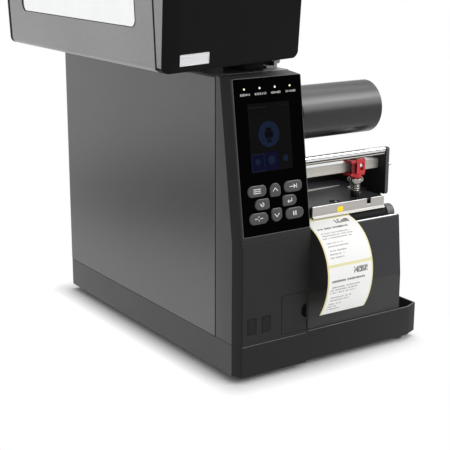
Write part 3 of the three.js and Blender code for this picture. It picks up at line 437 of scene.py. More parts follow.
@dataclass(frozen=True)
class PolishedMetal(DrawnMetal):
    """Drawn metal whose lines are nearly polished away."""

    mottle: float = 0.05
    grain: float = 0.04
    grain_depth: float = 0.00002


@dataclass(frozen=True)
class WoundRoll(Finish):
    """Film or paper wound in layers about an axis along X."""

    axis: Point2 = (0.0, 0.0)
    layers: float = 2600.0
    bands: float = 0.2
    winding: Point3 = (3.0, 140.0, 140.0)

    def paint(self, shading: Shading) -> None:
        """Adds rings on the ends and faint bands along the winding.

        Args:
            shading: The nodes of the material.
        """
        centre = machine(0.0, *self.axis)
        place = shading.coords(centre=Vector((0.0, centre.y, centre.z)))
        parts = shading.add("ShaderNodeSeparateXYZ", {0: place}).outputs
        radius = shading.calc("SQRT", shading.calc(
            "ADD", *(shading.calc("MULTIPLY", part, part) for part in parts[1:3])))
        rings = shading.out("ShaderNodeTexNoise", {"W": radius, "Scale": self.layers,
                                                   "Detail": 2.0}, noise_dimensions="1D")
        around = shading.noise(1.0, 2.0, shading.coords(self.winding))
        tone = shading.weigh(rings, around, self.bands)
        shading.put("Base Color", self.tint(shading, shading.span(tone, start=0.32,
                                                                  stop=0.68)))
        self.dull(shading, around, 0.05, 0.08)
        shading.relief(rings, self.grain, self.grain_depth)


@dataclass(frozen=True)
class Glossy(Finish):
    """Polished plastic or glass with faint wipe marks."""

    wipes: Point3 = (1.0, 1.0, 3.0)

    def paint(self, shading: Shading) -> None:
        """Adds smears to the gloss and an even deep colour.

        Args:
            shading: The nodes of the material.
        """
        smear = shading.noise(18.0, 4.0, shading.coords(self.wipes))
        shading.put("Base Color", self.tint(shading, shading.span(smear)))
        self.dull(shading, smear, 0.0, 0.06)


@dataclass(frozen=True)
class ClearSheet(Finish):
    """Clear sheet with faint wiping streaks."""

    wipes: Point3 = (6.0, 30.0, 30.0)
    ior: float = 1.1

    def paint(self, shading: Shading) -> None:
        """Lets light through and adds streaks to the gloss.

        Args:
            shading: The nodes of the material.
        """
        streak = shading.noise(1.0, 3.0, shading.coords(self.wipes))
        shading.put("Base Color", shading.blend(
            shading.span(streak), scaled(self.color, 1 - self.mottle), self.color))
        shading.put("Transmission Weight", 1.0)
        shading.put("IOR", self.ior)
        self.dull(shading, streak, 0.0, 0.05)


@dataclass(frozen=True)
class Lit(Finish):
    """A lamp or a picture that shines a little by itself, or print with a faint painted glow."""

    glow: float = 1.0
    cloud_scale: float = 300.0
    cloud: float = 0.92

    def paint(self, shading: Shading) -> None:
        """Adds an even glow over a faintly clouded colour.

        Args:
            shading: The nodes of the material.
        """
        clouds = shading.noise(self.cloud_scale, 1.0)
        tone = shading.blend(shading.span(clouds), scaled(self.color, self.cloud), self.color)
        shading.put("Base Color", tone)
        shading.put("Emission Color", tone)
        shading.put("Emission Strength", self.glow)
        shading.put("Roughness", self.roughness)


# Paints

HOUSING_PAINT = MetallicPaint("housing_paint", "housing_paint", (0.03, 0.0296, 0.0293),
                              0.32, 0.1, 0.9, grain=0.3, grain_scale=900.0, ior=1.65)
COVER_PAINT = MetallicPaint("cover_paint", "cover_paint", (0.36, 0.356, 0.36),
                            0.42, 0.2, 0.2, mottle=0.05, grain_scale=900.0, flake=0.2)
REAR_STEEL = MetallicPaint("rear_steel", "black_steel", (0.02, 0.02, 0.021), 0.5, 0.2,
                           0.3, grain_scale=900.0)
BLACK_STEEL = Finish("black_steel", "black_steel", (0.014, 0.014, 0.015), 0.42, 0.2, 0.3,
                     grain=0.15)
# A lighter copy of the black steel, painted on the end plate's front faces as lit.
LIT_EDGE_STEEL = Finish("edge_steel", "black_steel", (0.055, 0.055, 0.056), 0.4, 0.3, 0.4,
                    grain=0.12)
HEAD_STEEL = Finish("head_steel", "black_steel", (0.035, 0.036, 0.04), 0.38, 0.5, 0.4,
                    grain=0.12)

# Plastics and rubbers

TRAY_PLASTIC = Finish("tray_plastic", "dark_plastic", grey(0.01), specular=0.2)
# A lighter, glossier copy of the tray's plastic, painted on its left and upward faces as lit.
TRAY_LIT_SIDE = Finish("tray_side", "dark_plastic", (0.05, 0.05, 0.0495), 0.45, specular=0.6)
BEZEL_PLASTIC = Finish("bezel_plastic", "dark_plastic", grey(0.017), specular=0.16)
# Lighter copies of the bezel's plastic, painted on its left side and its top as lit.
BEZEL_LIT_SIDE = Finish("bezel_side", "dark_plastic", grey(0.075), 0.45, specular=0.5)
BEZEL_LIT_TOP = Finish("bezel_top", "dark_plastic", grey(0.032), 0.45, specular=0.2)
# A pale grey for the ring round the display panel, painted as the highlight on its edge.
PANEL_EDGE_HIGHLIGHT = Finish("panel_rim", "dark_plastic", grey(0.11), 0.4, specular=0.3)
# A lighter copy of the box's plastic, painted on its upright front face as lit by the floor's
# reflection.
BOX_LIT_FRONT = Finish("box_front", "dark_plastic", grey(0.034))
BOX_PLASTIC = Finish("box_plastic", "dark_plastic", (0.024, 0.023, 0.026))
BEARING_GREY = Finish("bearing_grey", "dark_plastic", (0.1, 0.1, 0.105), 0.45, specular=0.3)
CAP_PLASTIC = Finish("cap_plastic", "black_plastic", grey(0.007), 0.45, specular=0.05)
BLACK_PLASTIC = Finish("black_plastic", "black_plastic", grey(0.012), 0.45, specular=0.3)
CAP_SHADE = Finish("cap_shade", "black_plastic", grey(0.003), specular=0.02)
KEY_PLASTIC = Finish("key_plastic", "key_plastic", (0.053, 0.054, 0.056), 0.45)
# A lighter copy of the key plastic, painted on the keys' upper right rims as a highlight.
KEY_HIGHLIGHT = Finish("key_rim", "key_plastic", (0.2, 0.2, 0.205), 0.4, specular=0.3)
RED_PLASTIC = Finish("red_plastic", "red_plastic", (0.5, 0.028, 0.034), 0.38, specular=0.3,
                     grain=0.12)
RED_SHADE = Finish("red_shade", "red_plastic", (0.15, 0.004, 0.006), 0.38, specular=0.3,
                   grain=0.12)
RUBBER = Finish("black_rubber", "rubber", grey(0.014), 0.8, specular=0.15,
                grain_scale=900.0)
GASKET = Finish("gasket_rubber", "rubber", grey(0.01), 0.7, specular=0.15)
BOARD_GREEN = Finish("board_green", "board_green", (0.012, 0.085, 0.03), 0.4,
                     specular=0.4, grain=0.1)

# Bare metals

STEEL = DrawnMetal("sheet_steel", "steel", (0.55, 0.55, 0.56), 0.35, grain=0.12)
BAR_STEEL = DrawnMetal("bar_steel", "steel", (0.46, 0.44, 0.41), 0.55, 0.75)
WALL_STEEL = DrawnMetal("wall_steel", "steel", (0.32, 0.32, 0.33), 0.5,
                        lines=(300.0, 300.0, 6.0))
NUT_STEEL = DrawnMetal("nut_steel", "steel", (0.37, 0.355, 0.315), 0.28, mottle=0.15)
HINGE_STEEL = DrawnMetal("hinge_steel", "steel", (0.16, 0.16, 0.165), 0.42, grain=0.12)
PLATE_STEEL = DrawnMetal("plate_steel", "polished_steel", (0.41, 0.395, 0.375), 0.42,
                         mottle=0.08)
# A pale steel for a tapered strip on the head's top, painted as a sheen.
SHEEN_STRIP_STEEL = DrawnMetal("stiffener_steel", "polished_steel", (0.4, 0.385, 0.36), 0.6,
                             0.25, mottle=0.08)
# A duller copy of the plate's steel, painted on the front plate's lip and undersides as shade.
LIP_SHADED_STEEL = DrawnMetal("lip_steel", "polished_steel", (0.42, 0.41, 0.39), 0.6, 0.6, 0.4,
                       mottle=0.08)
POLISHED = PolishedMetal("polished_steel", "polished_steel", (0.78, 0.78, 0.79), 0.22,
                         mottle=0.06, grain=0.05)
# A pale copy of the bars' steel, painted on upward faces of the pressure bar and the head's front
# plate as a highlight.
BAR_LIT_TOP = PolishedMetal("bar_top", "polished_steel", grey(0.9), 0.32)
RAIL_STEEL = PolishedMetal("rail_steel", "polished_steel", (0.56, 0.53, 0.46), 0.4,
                           mottle=0.08)
BRIGHT_BAR = PolishedMetal("bright_bar", "polished_steel", (0.72, 0.72, 0.73), 0.16)
BADGE = PolishedMetal("badge_plate", "polished_steel", (0.7, 0.7, 0.72), 0.3, 0.6, 0.4,
                      grain=0.05)

# Papers, inks and rolls

YELLOW_MARK = Finish("yellow_mark", "paper", (0.95, 0.72, 0.01), specular=0.3,
                     mottle=0.03, grain=0.05)
PAPER = Finish("label_paper", "paper", (0.84, 0.84, 0.83), 0.65, mottle=0.015, grain=0.1,
               grain_scale=700.0)
LINER = Finish("liner_paper", "paper", (0.74, 0.7, 0.38), 0.6, mottle=0.03, grain=0.1,
               grain_scale=700.0)
CORE_CARD = Finish("core_card", "paper", (0.2, 0.155, 0.1), 0.8, grain_scale=500.0)
INK = Finish("printing_ink", "black_plastic", grey(0.03), 0.6, mottle=0.2)
PALE_INK = Finish("pale_ink", "black_plastic", (0.2, 0.2, 0.205), 0.6, mottle=0.25)
# Key marks and lamp captions are only print, given a faint painted glow.
KEY_PRINT = Lit("key_print", "paper", (0.75, 0.76, 0.78), glow=0.05)
CAPTION_PRINT = Lit("caption_print", "paper", (0.6, 0.58, 0.55), glow=0.02)
PAPER_ROLL = WoundRoll("paper_roll", "paper", (0.72, 0.71, 0.62), 0.7, mottle=0.14,
                       grain=0.4, grain_depth=0.0001, axis=ROLL_AXIS, bands=0.1)
RIBBON_FILM = WoundRoll("ribbon_film", "ribbon_film", (0.011, 0.0108, 0.0124), 0.3, 0.1,
                        0.42, mottle=0.5, grain_depth=0.00005, axis=RIBBON_AXIS, bands=0.25)

# Glass, clear sheets and what shines

PANEL_GLOSS = Glossy("panel_gloss", "gloss_panel", (0.0005, 0.0005, 0.0006), 0.05,
                     specular=0.01)
SCREEN_GLASS = Glossy("screen_glass", "screen_glass", (0.0028, 0.0026, 0.003), 0.08,
                      specular=0.03)
WINDOW = ClearSheet("window_sheet", "clear_plastic", (0.93, 0.94, 0.945), 0.03,
                    specular=0.4, mottle=0.05)
LAMP_GREEN = Lit("lamp_green", "clear_plastic", (0.8, 0.82, 0.5), 0.3, glow=0.7)
LAMP_WHITE = Lit("lamp_white", "clear_plastic", (0.8, 0.82, 0.86), 0.3, glow=0.7)


class Tone(IntEnum):
    """The colours of the screen's picture, in the order of its finishes."""

    BLUE = 0
    DEEP = 1
    PALE = 2
    DARK = 3
    GREY = 4


PICTURE = [Lit(f"picture_{tone.name.lower()}", "screen_glass", color, 0.3, specular=0.02,
               glow=glow) for tone, color, glow in (
                   (Tone.BLUE, (0.005, 0.0095, 0.024), 0.3),
                   (Tone.DEEP, (0.002, 0.002, 0.014), 0.3),
                   (Tone.PALE, (0.005, 0.010, 0.026), 0.3),
                   (Tone.DARK, (0.001, 0.001, 0.0015), 0.0),
                   (Tone.GREY, (0.006, 0.007, 0.010), 0.2))]


# Forms: closed shells that are gathered in one mesh

def circle(u: float, v: float, radius: float, sides: int = 48) -> list[Point2]:
    """Returns the points of a circle."""
    return [(u + radius * math.cos(2 * math.pi * i / sides),
             v + radius * math.sin(2 * math.pi * i / sides)) for i in range(sides)]


def slab(left: float, right: float, low: float, high: float,
         corners: float | Sequence[float] = 0.0, steps: int = 8) -> list[Point2]:
    """Returns a rectangle with rounded corners.

    Args:
        left: Lowest u.
        right: Highest u.
        low: Lowest v.
        high: Highest v.
        corners: One radius, or four from low left round to high left.
        steps: Points on each rounded corner.

    Returns:
        The outline, counted anticlockwise.
    """
    radii = [corners] * 4 if isinstance(corners, (int, float)) else list(corners)
    spots = [(left, low, 1, 1, 180), (right, low, -1, 1, 270),
             (right, high, -1, -1, 0), (left, high, 1, -1, 90)]
    points: list[Point2] = []
    for (u, v, du, dv, start), radius in zip(spots, radii):
        if radius <= 0:
            points.append((u, v))
            continue
        for i in range(steps + 1):
            angle = math.radians(start + 90 * i / steps)
            points.append((u + du * radius + radius * math.cos(angle),
                           v + dv * radius + radius * math.sin(angle)))
    return points


def stroke(points: Sequence[Point2], width: float) -> list[Point2]:
    """Returns the outline of a line of even width, with mitred bends.

    Args:
        points: The points that the line runs along.
        width: Its width.

    Returns:
        The outline, along one side of the line and back along the other.
    """
    left, right = [], []
    for i, (u, v) in enumerate(points):
        before, after = points[max(0, i - 1)], points[min(len(points) - 1, i + 1)]
        along = Vector((after[0] - before[0], after[1] - before[1])).normalized()
        reach = width / 2
        if 0 < i < len(points) - 1:
            first = Vector((u - before[0], v - before[1])).normalized()
            reach /= max(0.4, first.dot(along))
        left.append((u - along.y * reach, v + along.x * reach))
        right.append((u + along.y * reach, v - along.x * reach))
    return left + right[::-1]


class Form:
    """Gathers closed shells, given in millimetres, into one piece."""

    def __init__(self, place: Place = machine) -> None:
        """Starts an empty form whose points go where place says."""
        self.place = place
        self.shell = bmesh.new()

    def _face(self, corners: Sequence[bmesh.types.BMVert], finish: int) -> None:
        """Adds one face, unless it has fewer than three corners.

        Args:
            corners: Its points in their order.
            finish: Which of the piece's finishes it has.
        """
        ring = list(dict.fromkeys(corners))
        if len(ring) > 2:
            self.shell.faces.new(ring).material_index = finish

    def _skin(self, rings: Sequence[Sequence[bmesh.types.BMVert]], closed: bool,
              finish: int) -> None:
        """Joins rings of points, each closed in itself, one after the other.

        Args:
            rings: The rings. A ring of one point ends in a tip.
            closed: Whether the last ring joins the first.
            finish: Which of the piece's finishes the faces have.
        """
        pairs = list(zip(rings, rings[1:]))
        if closed:
            pairs.append((rings[-1], rings[0]))
        for first, second in pairs:
            count = max(len(first), len(second))
            for i in range(count):
                j = (i + 1) % count
                self._face([first[i % len(first)], first[j % len(first)],
                            second[j % len(second)], second[i % len(second)]], finish)

    def prism(self, axis: Axis, outline: Sequence[Point2], low: float, high: float,
              holes: Iterable[Sequence[Point2]] = (), finish: int = 0) -> "Form":
        """Draws an outline out along an axis.

        Args:
            axis: The axis.
            outline: Points of the outer edge.
            low: Where it starts along the axis.
            high: Where it ends.
            holes: Outlines of holes through it.
            finish: Which of the piece's finishes it has.

        Returns:
            This form.
        """
        loops = [list(outline), *(list(hole) for hole in holes)]
        flat = [point for loop in loops for point in loop]
        rings = [[self.shell.verts.new(self.place(*axis.spread(u, v, w)))
                  for u, v in flat] for w in (low, high)]
        caps = tessellate_polygon([[Vector((u, v, 0)) for u, v in loop] for loop in loops])
        for corners in caps:
            for ring in rings:
                self._face([ring[i] for i in corners], finish)
        start = 0
        for loop in loops:
            stop = start + len(loop)
            self._skin([ring[start:stop] for ring in rings], False, finish)
            start = stop
        return self

    def lathe(self, axis: Axis, centre: Point2, profile: Sequence[Point2],
              sides: int = 96, closed: bool = False, finish: int = 0) -> "Form":
        """Turns a profile about an axis.

        Args:
            axis: The axis.
            centre: Where the axis passes, in the two other directions.
            profile: Points of place along the axis and radius.
            sides: Faces round.
            closed: Whether the profile is a closed loop, as for a tube.
            finish: Which of the piece's finishes it has.

        Returns:
            This form.
        """
        rings = []
        for along, radius in profile:
            spots = ([centre] if radius <= 0 else
                     circle(centre[0], centre[1], radius, sides))
            rings.append([self.shell.verts.new(self.place(*axis.spread(u, v, along)))
                          for u, v in spots])
        self._skin(rings, closed, finish)
        return self

    def band(self, rows: Sequence[Sequence[Point3]]) -> "Form":
        """Joins closed rows of points into one skin and shuts its two ends.

        Args:
            rows: The rows of points in millimetres.

        Returns:
            This form.
        """
        rings = [[self.shell.verts.new(self.place(*point)) for point in row] for row in rows]
        self._skin(rings, False, 0)
        for end in (rings[0], rings[-1]):
            self._face(end, 0)
        return self

    def take(self, node: str) -> "Form":
        """Adds a copy of a node's shell, merged and freed of needless edges.

        Args:
            node: The node's name.

        Returns:
            This form.
        """
        source = frame["nodes"][node].data
        spots = [self.shell.verts.new(vertex.co) for vertex in source.vertices]
        for polygon in source.polygons:
            self._face([spots[i] for i in polygon.vertices], 0)
        bmesh.ops.remove_doubles(self.shell, verts=spots, dist=2e-6)
        return self

    def mark(self, way: Vector, finish: int, near: float) -> "Form":
        """Gives the faces that point one way another of the piece's finishes.

        Args:
            way: The direction.
            finish: The finish's number.
            near: Least cosine of the angle between a face and the direction.

        Returns:
            This form.
        """
        bmesh.ops.recalc_face_normals(self.shell, faces=self.shell.faces)
        aim = way.normalized()
        for face in self.shell.faces:
            if face.normal.dot(aim) > near:
                face.material_index = finish
        return self

    def draw(self, *parts: "Plate | Turned") -> "Form":
        """Adds plates and turned shells in their order.

        Args:
            parts: The plates and shells.

        Returns:
            This form.
        """
        for part in parts:
            part.draw(self)
        return self

    def mesh(self, name: str, bend: float = BEND) -> bpy.types.Mesh:
        """Ends the form in a mesh that is smooth but for its sharp edges.

        Args:
            name: The mesh's name.
            bend: Least angle in degrees of a sharp edge.

        Returns:
            The mesh.
        """
        bmesh.ops.recalc_face_normals(self.shell, faces=self.shell.faces)
        mesh = bpy.data.meshes.new(name)
        self.shell.to_mesh(mesh)
        self.shell.free()
        mesh.polygons.foreach_set("use_smooth", [True] * len(mesh.polygons))
        mesh.set_sharp_from_angle(angle=math.radians(bend))
        return mesh

    def piece(self, name: str, finishes: Finish | Sequence[Finish], body: str,
              edge: float = 0.0, steps: int = 2, bend: float = BEND,
              replaces: Sequence[str] = ()) -> bpy.types.Object:
        """Makes the object, rounds its edges and ties it to a body.

        Args:
            name: The piece's name.
            finishes: Its finish, or several in the order of the shells' numbers.
            body: The body that it rides on.
            edge: Radius of its rounded edges, or nothing.
            steps: Faces across a rounded edge.
            bend: Least angle in degrees of an edge that is sharp or rounded.
            replaces: Nodes that it stands for.

        Returns:
            The new object.
        """
        bmesh.ops.remove_doubles(self.shell, verts=self.shell.verts, dist=1e-7)
        bmesh.ops.dissolve_limit(self.shell, angle_limit=math.radians(0.4),
                                 verts=self.shell.verts, edges=self.shell.edges,
                                 delimit={"MATERIAL"})
        return settle(name, self.mesh(name, bend), finishes, body, edge, steps, bend,
                      replaces)


@dataclass(frozen=True)
class Plate:
    """A plate with rounded corners, or with none, between two ends along an axis."""

    axis: Axis
    sides: Sides
    ends: Point2
    corners: float | Sides = 0.0
    hole: tuple[float, ...] = ()
    finish: int = 0
    steps: int = 8

    def draw(self, form: Form) -> None:
        """Adds the plate to a form."""
        form.prism(self.axis, slab(*self.sides, self.corners, self.steps), *self.ends,
                   [slab(*self.hole)] if self.hole else [], self.finish)


@dataclass(frozen=True)
class Turned:
    """A shell whose profile is turned about an axis."""

    axis: Axis
    centre: Point2
    profile: Outline
    sides: int
    closed: bool = False
    finish: int = 0

    def draw(self, form: Form) -> None:
        """Adds the shell to a form."""
        form.lathe(self.axis, self.centre, self.profile, self.sides, self.closed,
                   self.finish)


def settle(name: str, mesh: bpy.types.Mesh, finishes: Finish | Sequence[Finish], body: str,
           edge: float = 0.0, steps: int = 2, bend: float = BEND,
           replaces: Sequence[str] = ()) -> bpy.types.Object:
    """Puts a finished mesh in the scene and ties it to a body.

    Args:
        name: The piece's name.
        mesh: Its mesh, in place.
        finishes: Its finish or finishes.
        body: The body that it rides on.
        edge: Radius of its rounded edges in millimetres, or nothing.
        steps: Faces across a rounded edge.
        bend: Least angle in degrees of an edge that is rounded.
        replaces: Nodes that it stands for.

    Returns:
        The new object.
    """
    several = [finishes] if isinstance(finishes, Finish) else list(finishes)
    if not mesh.materials:
        for finish in several:
            mesh.materials.append(finish.material())
    piece = linked(name, mesh)
    if edge > 0:
        rounding = piece.modifiers.new("rounded_edges", "BEVEL")
        rounding.width = edge * MILLI
        rounding.segments = steps
        rounding.limit_method = "ANGLE"
        rounding.angle_limit = math.radians(bend)
        rounding.harden_normals = True
        rounding.use_clamp_overlap = True
    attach(piece, body)
    if replaces:
        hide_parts(*replaces)
    log.info("%s: %d faces on %s", name, len(mesh.polygons), body)
    return piece


def dressed(node: str, finishes: Finish | Sequence[Finish], edge: float = 0.4,
            steps: int = 2, marks: Sequence[tuple[Vector, int, float]] = ()) -> bpy.types.Object:
    """Replaces a node by a copy of itself with rounded edges and its finishes.

    Args:
        node: The node's name.
        finishes: Its finish, or several.
        edge: Radius of its edges in millimetres.
        steps: Faces across a rounded edge.
        marks: Directions whose faces have another of the finishes, with its number and
            the least cosine of the angle between a face and the direction.

    Returns:
        The new object.
    """
    form = Form().take(node)
    for way, finish, near in marks:
        form.mark(way, finish, near)
    return form.piece(f"{node}_dressed", finishes, frame["nodes"][node]["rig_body"], edge,
                      steps, replaces=[node])


# Patterns: what repeats or follows a rule

class Pattern(Bench):
    """A Geometry Nodes tree with named inputs that is run on a start mesh."""

    def __init__(self, name: str) -> None:
        """Makes the tree with its geometry in and out.

        Args:
            name: The tree's name.
        """
        super().__init__(bpy.data.node_groups.new(name, "GeometryNodeTree"))
        for way in ("INPUT", "OUTPUT"):
            self.tree.interface.new_socket("Geometry", in_out=way,
                                           socket_type="NodeSocketGeometry")
        self.start = self.tree.nodes.new("NodeGroupInput")
        self.end = self.tree.nodes.new("NodeGroupOutput")
        self.sockets: dict[str, str] = {}

    def take(self, **kinds: str) -> list[Socket]:
        """Adds named inputs.

        Args:
            kinds: Their socket types by name, without the types' common first part.

        Returns:
            The sockets that give their values.
        """
        for name, kind in kinds.items():
            item = self.tree.interface.new_socket(name, in_out="INPUT",
                                                  socket_type=f"NodeSocket{kind}")
            self.sockets[name] = item.identifier
        return [self.start.outputs[name] for name in kinds]

    def close(self, geometry: Socket) -> None:
        """Ends the tree in real faces with their material.

        Args:
            geometry: What the tree has made.
        """
        finish, = self.take(Finish="Material")
        real = self.out("GeometryNodeRealizeInstances", {0: geometry})
        painted = self.out("GeometryNodeSetMaterial", {"Geometry": real, "Material": finish})
        self.tree.links.new(painted, self.end.inputs[0])

    def run(self, values: Mapping[str, object],
            base: bpy.types.Mesh | None = None) -> bpy.types.Mesh:
        """Runs the tree.

        Args:
            values: The inputs' values by name.
            base: The mesh that it starts from.

        Returns:
            The plain mesh that it made.
        """
        holder = linked("pattern_holder", base or bpy.data.meshes.new("pattern_base"))
        modifier = holder.modifiers.new("pattern", "NODES")
        modifier.node_group = self.tree
        for name, value in values.items():
            modifier[self.sockets[name]] = value
        graph = bpy.context.evaluated_depsgraph_get()
        mesh = bpy.data.meshes.new_from_object(holder.evaluated_get(graph), depsgraph=graph)
        holder.modifiers.remove(modifier)
        bpy.data.objects.remove(holder)
        return mesh


class Repeats(Pattern):
    """Sets one form on each point of a mesh, turned to face the point's way."""

    def __init__(self) -> None:
        """Builds the tree."""
        super().__init__("repeats")
        form, = self.take(Form="Object")
        shape = self.add("GeometryNodeObjectInfo", {"Object": form}).outputs["Geometry"]
        facing = self.out("GeometryNodeInputNamedAttribute", {"Name": "facing"},
                          data_type="FLOAT_VECTOR")
        turned = self.out("FunctionNodeAlignRotationToVector", {"Vector": facing}, axis="Z")
        self.close(self.out("GeometryNodeInstanceOnPoints", {
            "Points": self.start.outputs["Geometry"], "Instance": shape,
            "Rotation": turned}))

    def lay(self, name: str, form: Form, spots: Sequence[tuple[Vector, Vector]],
            finish: Finish, body: str, replaces: Sequence[str] = ()) -> bpy.types.Object:
        """Sets a form on each spot.

        Args:
            name: The name of the piece that results.
            form: The form, drawn about the origin and facing along Z.
            spots: Points in metres and the ways that they face.
            finish: The finish.
            body: The body that the piece rides on.
            replaces: Nodes that it stands for.

        Returns:
            The piece.
        """
        holder = linked("repeated_form", form.mesh("repeated_form"))
        points = bpy.data.meshes.new("spots")
        points.from_pydata([spot for spot, _ in spots], [], [])
        layer = points.attributes.new("facing", "FLOAT_VECTOR", "POINT")
        for item, (_, way) in zip(layer.data, spots):
            item.vector = way
        mesh = self.run({"Form": holder, "Finish": finish.material()}, points)
        bpy.data.objects.remove(holder)
        return settle(name, mesh, finish, body, replaces=replaces)


class ToothRing(Pattern):
    """Small teeth or ridges round a circle."""

    def __init__(self) -> None:
        """Builds the tree."""
        super().__init__("tooth_ring")
        count, radius, size, turn, centre = self.take(
            Count="Int", Radius="Float", Tooth="Vector", Turn="Vector", Centre="Vector")
        ring = self.out("GeometryNodeCurvePrimitiveCircle",
                        {"Resolution": 64, "Radius": radius}, mode="RADIUS")
        spots = self.out("GeometryNodeCurveToPoints", {"Curve": ring, "Count": count},
                         mode="COUNT")
        outward = self.out("FunctionNodeAlignRotationToVector",
                           {"Vector": self.out("GeometryNodeInputPosition")}, axis="X")
        tooth = self.out("GeometryNodeMeshCube", {"Size": size})
        placed = self.out("GeometryNodeInstanceOnPoints", {
            "Points": spots, "Instance": tooth, "Rotation": outward})
        self.close(self.out("GeometryNodeTransform", {
            "Geometry": placed, "Translation": centre, "Rotation": turn}))


class Coil(Pattern):
    """A round wire wound in a helix."""

    def __init__(self) -> None:
        """Builds the tree."""
        super().__init__("coil")
        turns, radius, height, wire, foot = self.take(
            Turns="Float", Radius="Float", Height="Float", Wire="Float", Foot="Vector")
        helix = self.out("GeometryNodeCurveSpiral", {
            "Resolution": 48, "Rotations": turns, "Start Radius": radius,
            "End Radius": radius, "Height": height})
        ring = self.out("GeometryNodeCurvePrimitiveCircle",
                        {"Resolution": 14, "Radius": wire}, mode="RADIUS")
        tube = self.out("GeometryNodeCurveToMesh", {
            "Curve": helix, "Profile Curve": ring, "Fill Caps": True})
        smooth = self.out("GeometryNodeSetShadeSmooth", {0: tube})
        self.close(self.out("GeometryNodeTransform", {
            "Geometry": smooth, "Translation": foot}))


class PrintedLines(Pattern):
    """Rows of small marks like the lines of a distant text, without any letter."""

    def __init__(self) -> None:
        """Builds the tree."""
        super().__init__("printed_lines")
        letters, lines, length, depth, size, gaps, ragged, seed = self.take(
            Letters="Int", Lines="Int", Length="Float", Depth="Float", Mark="Vector",
            Gaps="Float", Ragged="Float", Seed="Int")
        grid = self.out("GeometryNodeMeshGrid", {
            "Size X": length, "Size Y": depth, "Vertices X": letters, "Vertices Y": lines})
        index = self.out("GeometryNodeInputIndex")
        row = self.calc("MODULO", index, lines)
        share = self.calc("DIVIDE", self.calc("DIVIDE", index, lines), letters)
        missing = self.out("FunctionNodeCompare", {0: self._chance(index, seed), 1: gaps},
                           data_type="FLOAT", operation="LESS_THAN")
        short = self.calc("MULTIPLY", self._chance(row, seed), ragged)
        beyond = self.out("FunctionNodeCompare", {
            0: share, 1: self.calc("SUBTRACT", 1.0, short)},
            data_type="FLOAT", operation="GREATER_THAN")
        gone = self.out("FunctionNodeBooleanMath", {0: missing, 1: beyond}, operation="OR")
        kept = self.out("GeometryNodeDeleteGeometry", {"Geometry": grid, "Selection": gone},
                        domain="POINT")
        mark = self.out("GeometryNodeMeshCube", {"Size": size})
        least, most = (0.7, 0.75, 1.0), (1.0, 1.2, 1.0)
        tall = self.out("FunctionNodeRandomValue",
                        {"ID": index, "Seed": seed, 0: least, 1: most},
                        data_type="FLOAT_VECTOR")
        self.close(self.out("GeometryNodeInstanceOnPoints", {
            "Points": kept, "Instance": mark, "Scale": tall}))

    def _chance(self, number: Socket, seed: Socket) -> Socket:
        """Returns a random value from nothing to one for a mark's or a row's number."""
        return self.add("FunctionNodeRandomValue", {"ID": number, "Seed": seed},
                        data_type="FLOAT").outputs[1]


@dataclass
class Patterns:
    """The trees that the sub-assemblies share."""

    repeats: Repeats = field(default_factory=Repeats)
    teeth: ToothRing = field(default_factory=ToothRing)
    coil: Coil = field(default_factory=Coil)
    lines: PrintedLines = field(default_factory=PrintedLines)


def screw_head(radius: float, height: float) -> Form:
    """Returns a domed screw head with a hexagonal socket, facing along Z.

    Args:
        radius: The head's radius.
        height: Its height.

    Returns:
        The form.
    """
    socket = radius * 0.5
    rings = [(0.0, radius), (height * 0.5, radius), (height * 0.85, radius * 0.88),
             (height, radius * 0.68), (height, socket), (height * 0.3, socket * 0.92)]
    return Form(local).band([[(u, v, w) for u, v in circle(0, 0, r, 24)] for w, r in rings])


# The studio

@dataclass(frozen=True)
class Softbox:
    """One lamp with its place in metres, the point that it faces, its size and watts."""

    name: str
    spot: Point3
    aim: Point3
    width: float
    height: float
    power: float
    mirrored: bool = True
    lighting: bool = True

    def hang(self) -> None:
        """Puts the lamp in the scene, out of the camera's sight."""
        lamp = bpy.data.lights.new(self.name, "AREA")
        lamp.shape = "RECTANGLE"
        lamp.size, lamp.size_y, lamp.energy = self.width, self.height, self.power
        holder = linked(self.name, lamp)
        holder.location = self.spot
        way = Vector(self.aim) - Vector(self.spot)
        holder.rotation_euler = way.to_track_quat("-Z", "Y").to_euler()
        holder.visible_camera = False
        holder.visible_glossy, holder.visible_diffuse = self.mirrored, self.lighting


